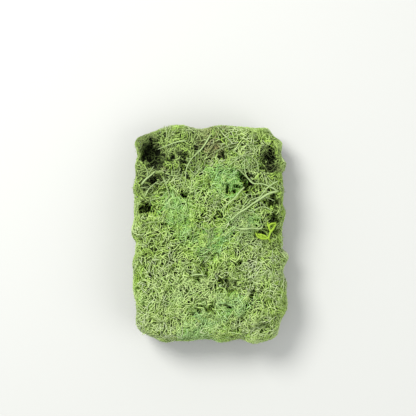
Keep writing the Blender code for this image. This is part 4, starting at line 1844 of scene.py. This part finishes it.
@dataclass(frozen=True)
class Heart:
    """A near-black closed skin deep inside the clump, in millimetres: painted shade for the inside of the
    tangle, over its real darker old growth, which also keeps the view from passing through it.
    """

    cushion: Cushion
    name: str = "painted_shade_heart"
    finish: HeartFinish = HeartFinish()
    reach: float = 0.965
    under_top: float = 12.5
    under_share: float = 0.45
    over_base: float = 4.0
    edge_slope: float = 5.0
    rings: int = 26
    steps: int = 96

    def sheet(self, upper: bool) -> np.ndarray:
        """The heart's upper or lower skin.

        Args:
            upper: Whether it is the upper one.

        Returns:
            Its points, as rings from the middle out to the rim.
        """
        cushion = self.cushion
        share = np.linspace(0, 1, self.rings + 1)[1:]
        angle = np.arange(self.steps) * math.tau / self.steps
        ways = np.stack([np.cos(angle), np.sin(angle)], 1)
        widths = np.abs(ways / np.array([cushion.half_width, cushion.half_length]))
        out = self.reach / (widths**cushion.square).sum(1) ** (1 / cushion.square)
        flat = ways[None] * (out[None, :, None] * share[:, None, None])
        flat = flat.reshape(-1, 2)
        top, base = cushion.read(cushion.top, flat), cushion.read(cushion.base, flat)
        under = np.minimum(self.under_top, (top - base) * self.under_share)
        height = top - under if upper else base + self.over_base
        close = np.repeat(np.clip((1 - share) * self.edge_slope, 0, 1) ** 0.5, self.steps)
        return np.column_stack([flat, blend((top + base) / 2, height, close)])

    def build(self) -> bpy.types.Object:
        """Builds the heart as one closed skin.

        Returns:
            The heart's object.
        """
        points, faces = [], []
        for upper in (True, False):
            first = sum(map(len, points))
            ring = self.sheet(upper)
            points += [ring, ring[: self.steps].mean(0, keepdims=True)]
            centre = first + len(ring)
            spokes = first + np.arange(self.rings) * self.steps
            for step in range(self.steps):
                after = (step + 1) % self.steps
                spans = [(centre, spokes[0] + step, spokes[0] + after)]
                for inner, outer in zip(spokes, spokes[1:]):
                    spans.append((inner + step, outer + step, outer + after))
                    spans.append((inner + step, outer + after, inner + after))
                faces += spans if upper else [span[::-1] for span in spans]
        points = np.concatenate(points) * MM
        mesh = bpy.data.meshes.new(self.name)
        mesh.from_pydata(points.tolist(), [], [tuple(map(int, face)) for face in faces])
        mesh.materials.append(self.finish.material())
        mesh.update()
        made = linked(self.name, mesh)
        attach(made, "root")
        log.info("%s: %d triangles", made.name, len(made.data.polygons))
        return made


@dataclass(frozen=True)
class LimeSprig:
    """The one bright lime-green sprig, hooked over the gap at the right edge, in millimetres."""

    node: str = "lime_sprig"
    limbs: tuple[tuple[tuple[float, float, float], ...], ...] = (
        (
            (46.5, 6.5, 29.0), (48.2, 8.4, 35.0), (48.5, 8.2, 41.2), (48.1, 6.4, 42.4),
            (46.9, 4.4, 43.2), (45.0, 2.5, 43.6), (44.1, 1.0, 43.6), (43.8, -1.4, 43.4),
            (43.0, -3.0, 43.2), (41.2, -2.7, 43.1), (38.3, -3.1, 43.1), (36.6, -1.9, 43.3),
            (34.9, -1.3, 43.5), (34.4, 0.7, 43.2),
        ),
        (
            (45.0, 2.6, 43.5), (43.2, 4.9, 43.9), (43.3, 6.9, 44.0), (44.7, 8.2, 43.8), (46.3, 8.7, 43.4),
            (47.8, 8.3, 42.6),
        ),
        ((43.3, 6.6, 43.6), (42.8, 8.2, 43.2)),
        ((42.4, -2.6, 43.0), (41.7, -0.6, 43.2), (39.7, -0.6, 43.4), (38.0, 0.5, 43.4), (36.4, 0.3, 43.0)),
        ((38.2, -3.0, 43.0), (38.0, -1.2, 43.4)),
        ((41.6, -1.4, 42.3), (38.6, -1.5, 42.5), (36.2, -0.5, 42.4)),
        ((40.6, -2.2, 42.3), (37.6, -2.2, 42.4), (35.7, -1.0, 42.3)),
        ((43.4, -2.8, 43.1), (44.2, -4.2, 42.4)),
    )
    thick: float = 0.98
    branch_share: float = 0.75
    thin: float = 0.62
    spacing: float = 0.9
    least_nodes: int = 4
    smoothings: int = 2
    side_from: tuple[float, float, float] = (0.1, 0.2, 1.0)
    radius_spread: tuple[float, float] = (0.88, 1.12)
    tone: tuple[float, float] = (0.55, 0.95)
    usual_hue: float = 0.5
    hue_spread: float = 0.2
    depth: float = 0.5
    seed: int = SEED + 50

    def limb_places(self, limb: tuple[tuple[float, float, float], ...]) -> np.ndarray:
        """The nodes of one limb, evenly spaced and smoothed.

        Args:
            limb: The points that the limb runs through.

        Returns:
            The nodes' places.
        """
        place = spaced(np.array(limb), self.spacing, self.least_nodes)[1]
        for _ in range(self.smoothings):
            place[1:-1] = (place[:-2] + 2 * place[1:-1] + place[2:]) / 4
        return place

    def build(self, material: bpy.types.Material) -> bpy.types.Object:
        """Builds the sprig in place of its node.

        Args:
            material: Its material.

        Returns:
            The sprig's object.
        """
        rng = np.random.default_rng(self.seed)
        strands = Strands()
        for rank, limb in enumerate(self.limbs):
            place = self.limb_places(limb)
            size = len(place)
            way = unit(np.gradient(place, axis=0))
            start = self.thick if rank == 0 else self.thick * self.branch_share
            first = strands.count
            strands.add(
                place=place, way=way, side=unit(np.cross(way, np.array(self.side_from))),
                parent=np.concatenate([[-1], np.arange(first, first + size - 1)]),
                radius=np.linspace(start, self.thin, size) * rng.uniform(*self.radius_spread, size),
                tuft=np.zeros(size, dtype=int), tone=rng.uniform(*self.tone, size),
                hue=np.clip(rng.normal(self.usual_hue, self.hue_spread, size), 0, 1),
                depth=np.full(size, self.depth),
            )
        made = StrandMesh(strands).build(0, f"{self.node}_branches", FINISHES[Shade.LIME], material)
        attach(made, "root")
        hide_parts(self.node)
        log.info("%s: %d triangles", made.name, len(made.data.polygons))
        return made


@dataclass(frozen=True)
class Tuft:
    """One tuft: the part's node that it dresses, its middle and top in millimetres, and its green."""

    node: str
    shade: Shade
    x: float
    y: float
    top: float

    def dress(
        self, index: int, meshes: StrandMesh, materials: dict[Shade, bpy.types.Material]
    ) -> bpy.types.Object:
        """Builds the tuft's strands in place of its node.

        Args:
            index: The tuft's number.
            meshes: What turns strands into meshes.
            materials: The material of each green.

        Returns:
            The tuft's object.
        """
        finish = FINISHES[self.shade]
        made = meshes.build(index, f"{self.node}_strands", finish, materials[self.shade])
        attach(made, "root")
        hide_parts(self.node)
        log.info("%s: %d triangles", made.name, len(made.data.polygons))
        return made


TUFTS = (
    Tuft("corner_tuft_low", Shade.OLIVE, -43, 70, 31),
    Tuft("open_tuft_top_left", Shade.LEAF, -20, 62, 44),
    Tuft("olive_tuft_top", Shade.OLIVE, 3, 65, 43),
    Tuft("pale_tuft_top_right", Shade.PALE, 25, 63, 45),
    Tuft("olive_tuft_right_edge", Shade.OLIVE, 46, 58, 36),
    Tuft("olive_tuft_left_shoulder", Shade.OLIVE, -43, 36, 41),
    Tuft("leaf_tuft_shoulder", Shade.LEAF, -17, 39, 44.5),
    Tuft("mint_tuft_upper", Shade.MINT, 12, 40, 44.5),
    Tuft("pale_tuft_right_shoulder", Shade.PALE, 41, 31, 44),
    Tuft("mint_tuft_left", Shade.MINT, -27, 15, 44.5),
    Tuft("leaf_tuft_centre", Shade.LEAF, 1, 18, 44),
    Tuft("mint_tuft_right", Shade.MINT, 27, 12, 44),
    Tuft("olive_tuft_left_edge", Shade.PALE, -41, -11, 43),
    Tuft("mint_tuft_centre", Shade.MINT, -1, -5, 45),
    Tuft("dark_tuft_right_edge", Shade.OLIVE, 49, -4, 36),
    Tuft("olive_tuft_right", Shade.PALE, 32, -25, 44),
    Tuft("yellow_tuft_left", Shade.YELLOW, -37, -40, 45),
    Tuft("yellow_tuft_centre", Shade.YELLOW, -10, -34, 44.5),
    Tuft("mint_tuft_low_right", Shade.LEAF, 18, -48, 44),
    Tuft("pale_tuft_bottom_left", Shade.PALE, -37, -68, 42),
    Tuft("mint_tuft_bottom", Shade.MINT, -7, -66, 43),
    Tuft("pale_tuft_bottom_right", Shade.PALE, 33, -69, 42),
)


@dataclass(frozen=True)
class FloorFinish:
    """The finish of the studio's floor: a plain pale grey, as a linear colour."""

    name: str = "pale_floor"
    colour: tuple[float, float, float] = (0.42, 0.42, 0.395)
    roughness: float = 0.9

    def material(self) -> bpy.types.Material:
        """Makes the finish as a material.

        Returns:
            The material.
        """
        made, shader = shaded(self.name, self.roughness)
        shader.inputs["Base Color"].default_value = (*self.colour, 1)
        return made


@dataclass(frozen=True)
class Lamp:
    """A soft round light that shines at the clump, in metres and watts."""

    name: str
    place: tuple[float, float, float]
    width: float
    power: float

    def hang(self) -> None:
        """Hangs the light, turned towards the clump."""
        lamp = bpy.data.lights.new(self.name, "AREA")
        lamp.shape, lamp.size, lamp.energy = "DISK", self.width, self.power
        made = linked(self.name, lamp)
        made.location = self.place
        made.rotation_euler = (-Vector(self.place)).to_track_quat("-Z", "Y").to_euler()


@dataclass(frozen=True)
class Studio:
    """The plain pale floor, the soft lights and the camera, in metres."""

    floor_size: float = 6.0
    floor_finish: FloorFinish = FloorFinish()
    lamps: tuple[Lamp, ...] = (
        Lamp("key_light", (-0.55, 0.55, 1.0), 0.55, 22.0),
        Lamp("fill_light", (0.8, -0.3, 0.9), 0.9, 6.5),
    )
    sky_colour: tuple[float, float, float] = (0.93, 0.96, 1.0)
    sky_strength: float = 0.95
    view_width: float = 0.3037
    view_middle: tuple[float, float] = (-0.0008, 0.0196)
    focus_height: float = 0.043
    lens: float = 100.0
    sensor: float = 36.0

    def floor(self) -> bpy.types.Object:
        """Makes the floor.

        Returns:
            The floor's object.
        """
        half = self.floor_size / 2
        mesh = bpy.data.meshes.new("floor")
        corners = [(-half, -half, 0), (half, -half, 0), (half, half, 0), (-half, half, 0)]
        mesh.from_pydata(corners, [], [(0, 1, 2, 3)])
        mesh.materials.append(self.floor_finish.material())
        made = linked("floor", mesh)
        return made

    def camera(self) -> None:
        """Hangs the camera over the clump, looking straight down."""
        lens = bpy.data.cameras.new("camera")
        lens.lens, lens.sensor_width = self.lens, self.sensor
        made = linked("camera", lens)
        away = self.view_width * self.lens / self.sensor
        made.location = (*self.view_middle, self.focus_height + away)
        bpy.context.scene.camera = made

    def sky(self) -> None:
        """Fills the room with an even pale light."""
        world = bpy.data.worlds.new("studio")
        world.use_nodes = True
        back = world.node_tree.nodes["Background"]
        back.inputs["Color"].default_value = (*self.sky_colour, 1)
        back.inputs["Strength"].default_value = self.sky_strength
        bpy.context.scene.world = world

    def build(self) -> None:
        """Sets up the whole studio."""
        self.floor()
        for lamp in self.lamps:
            lamp.hang()
        self.camera()
        self.sky()
        bpy.context.scene.view_settings.view_transform = "Standard"


def main() -> None:
    """Grows the moss, dresses the part with it and sets up the studio."""
    logging.basicConfig(level=logging.INFO, format="%(message)s")
    materials = {shade: finish.material() for shade, finish in FINISHES.items()}
    cushion = Cushion(tops=[(tuft.x, tuft.y, tuft.top) for tuft in TUFTS])
    middles = np.array([(tuft.x, tuft.y) for tuft in TUFTS], dtype=float)
    thicket = Thicket(cushion, middles)
    running, seeding, twigging = Running(), Seeding(), Twigging()
    shoots = Tips.together([stalk.lay(thicket, index) for index, stalk in enumerate(STALKS)])
    thicket.grow(shoots, BARE.generations, RUNNER)
    thicket.grow(thicket.runners(running), running.generations, RUNNER)
    log.info("nodes of stalks and runners: %d", thicket.strands.count)
    thicket.grow(thicket.seeds(seeding), seeding.generations, TANGLE)
    log.info("nodes of the net: %d", thicket.strands.count)
    thicket.grow(thicket.twigs(twigging), twigging.generations, FUZZ)
    log.info("nodes in all: %d", thicket.strands.count)
    meshes = StrandMesh(thicket.strands)
    for index, tuft in enumerate(TUFTS):
        tuft.dress(index, meshes, materials)
    LimeSprig().build(materials[Shade.LIME])
    Heart(cushion).build()
    Studio().build()


if __name__ == "__main__":
    main()
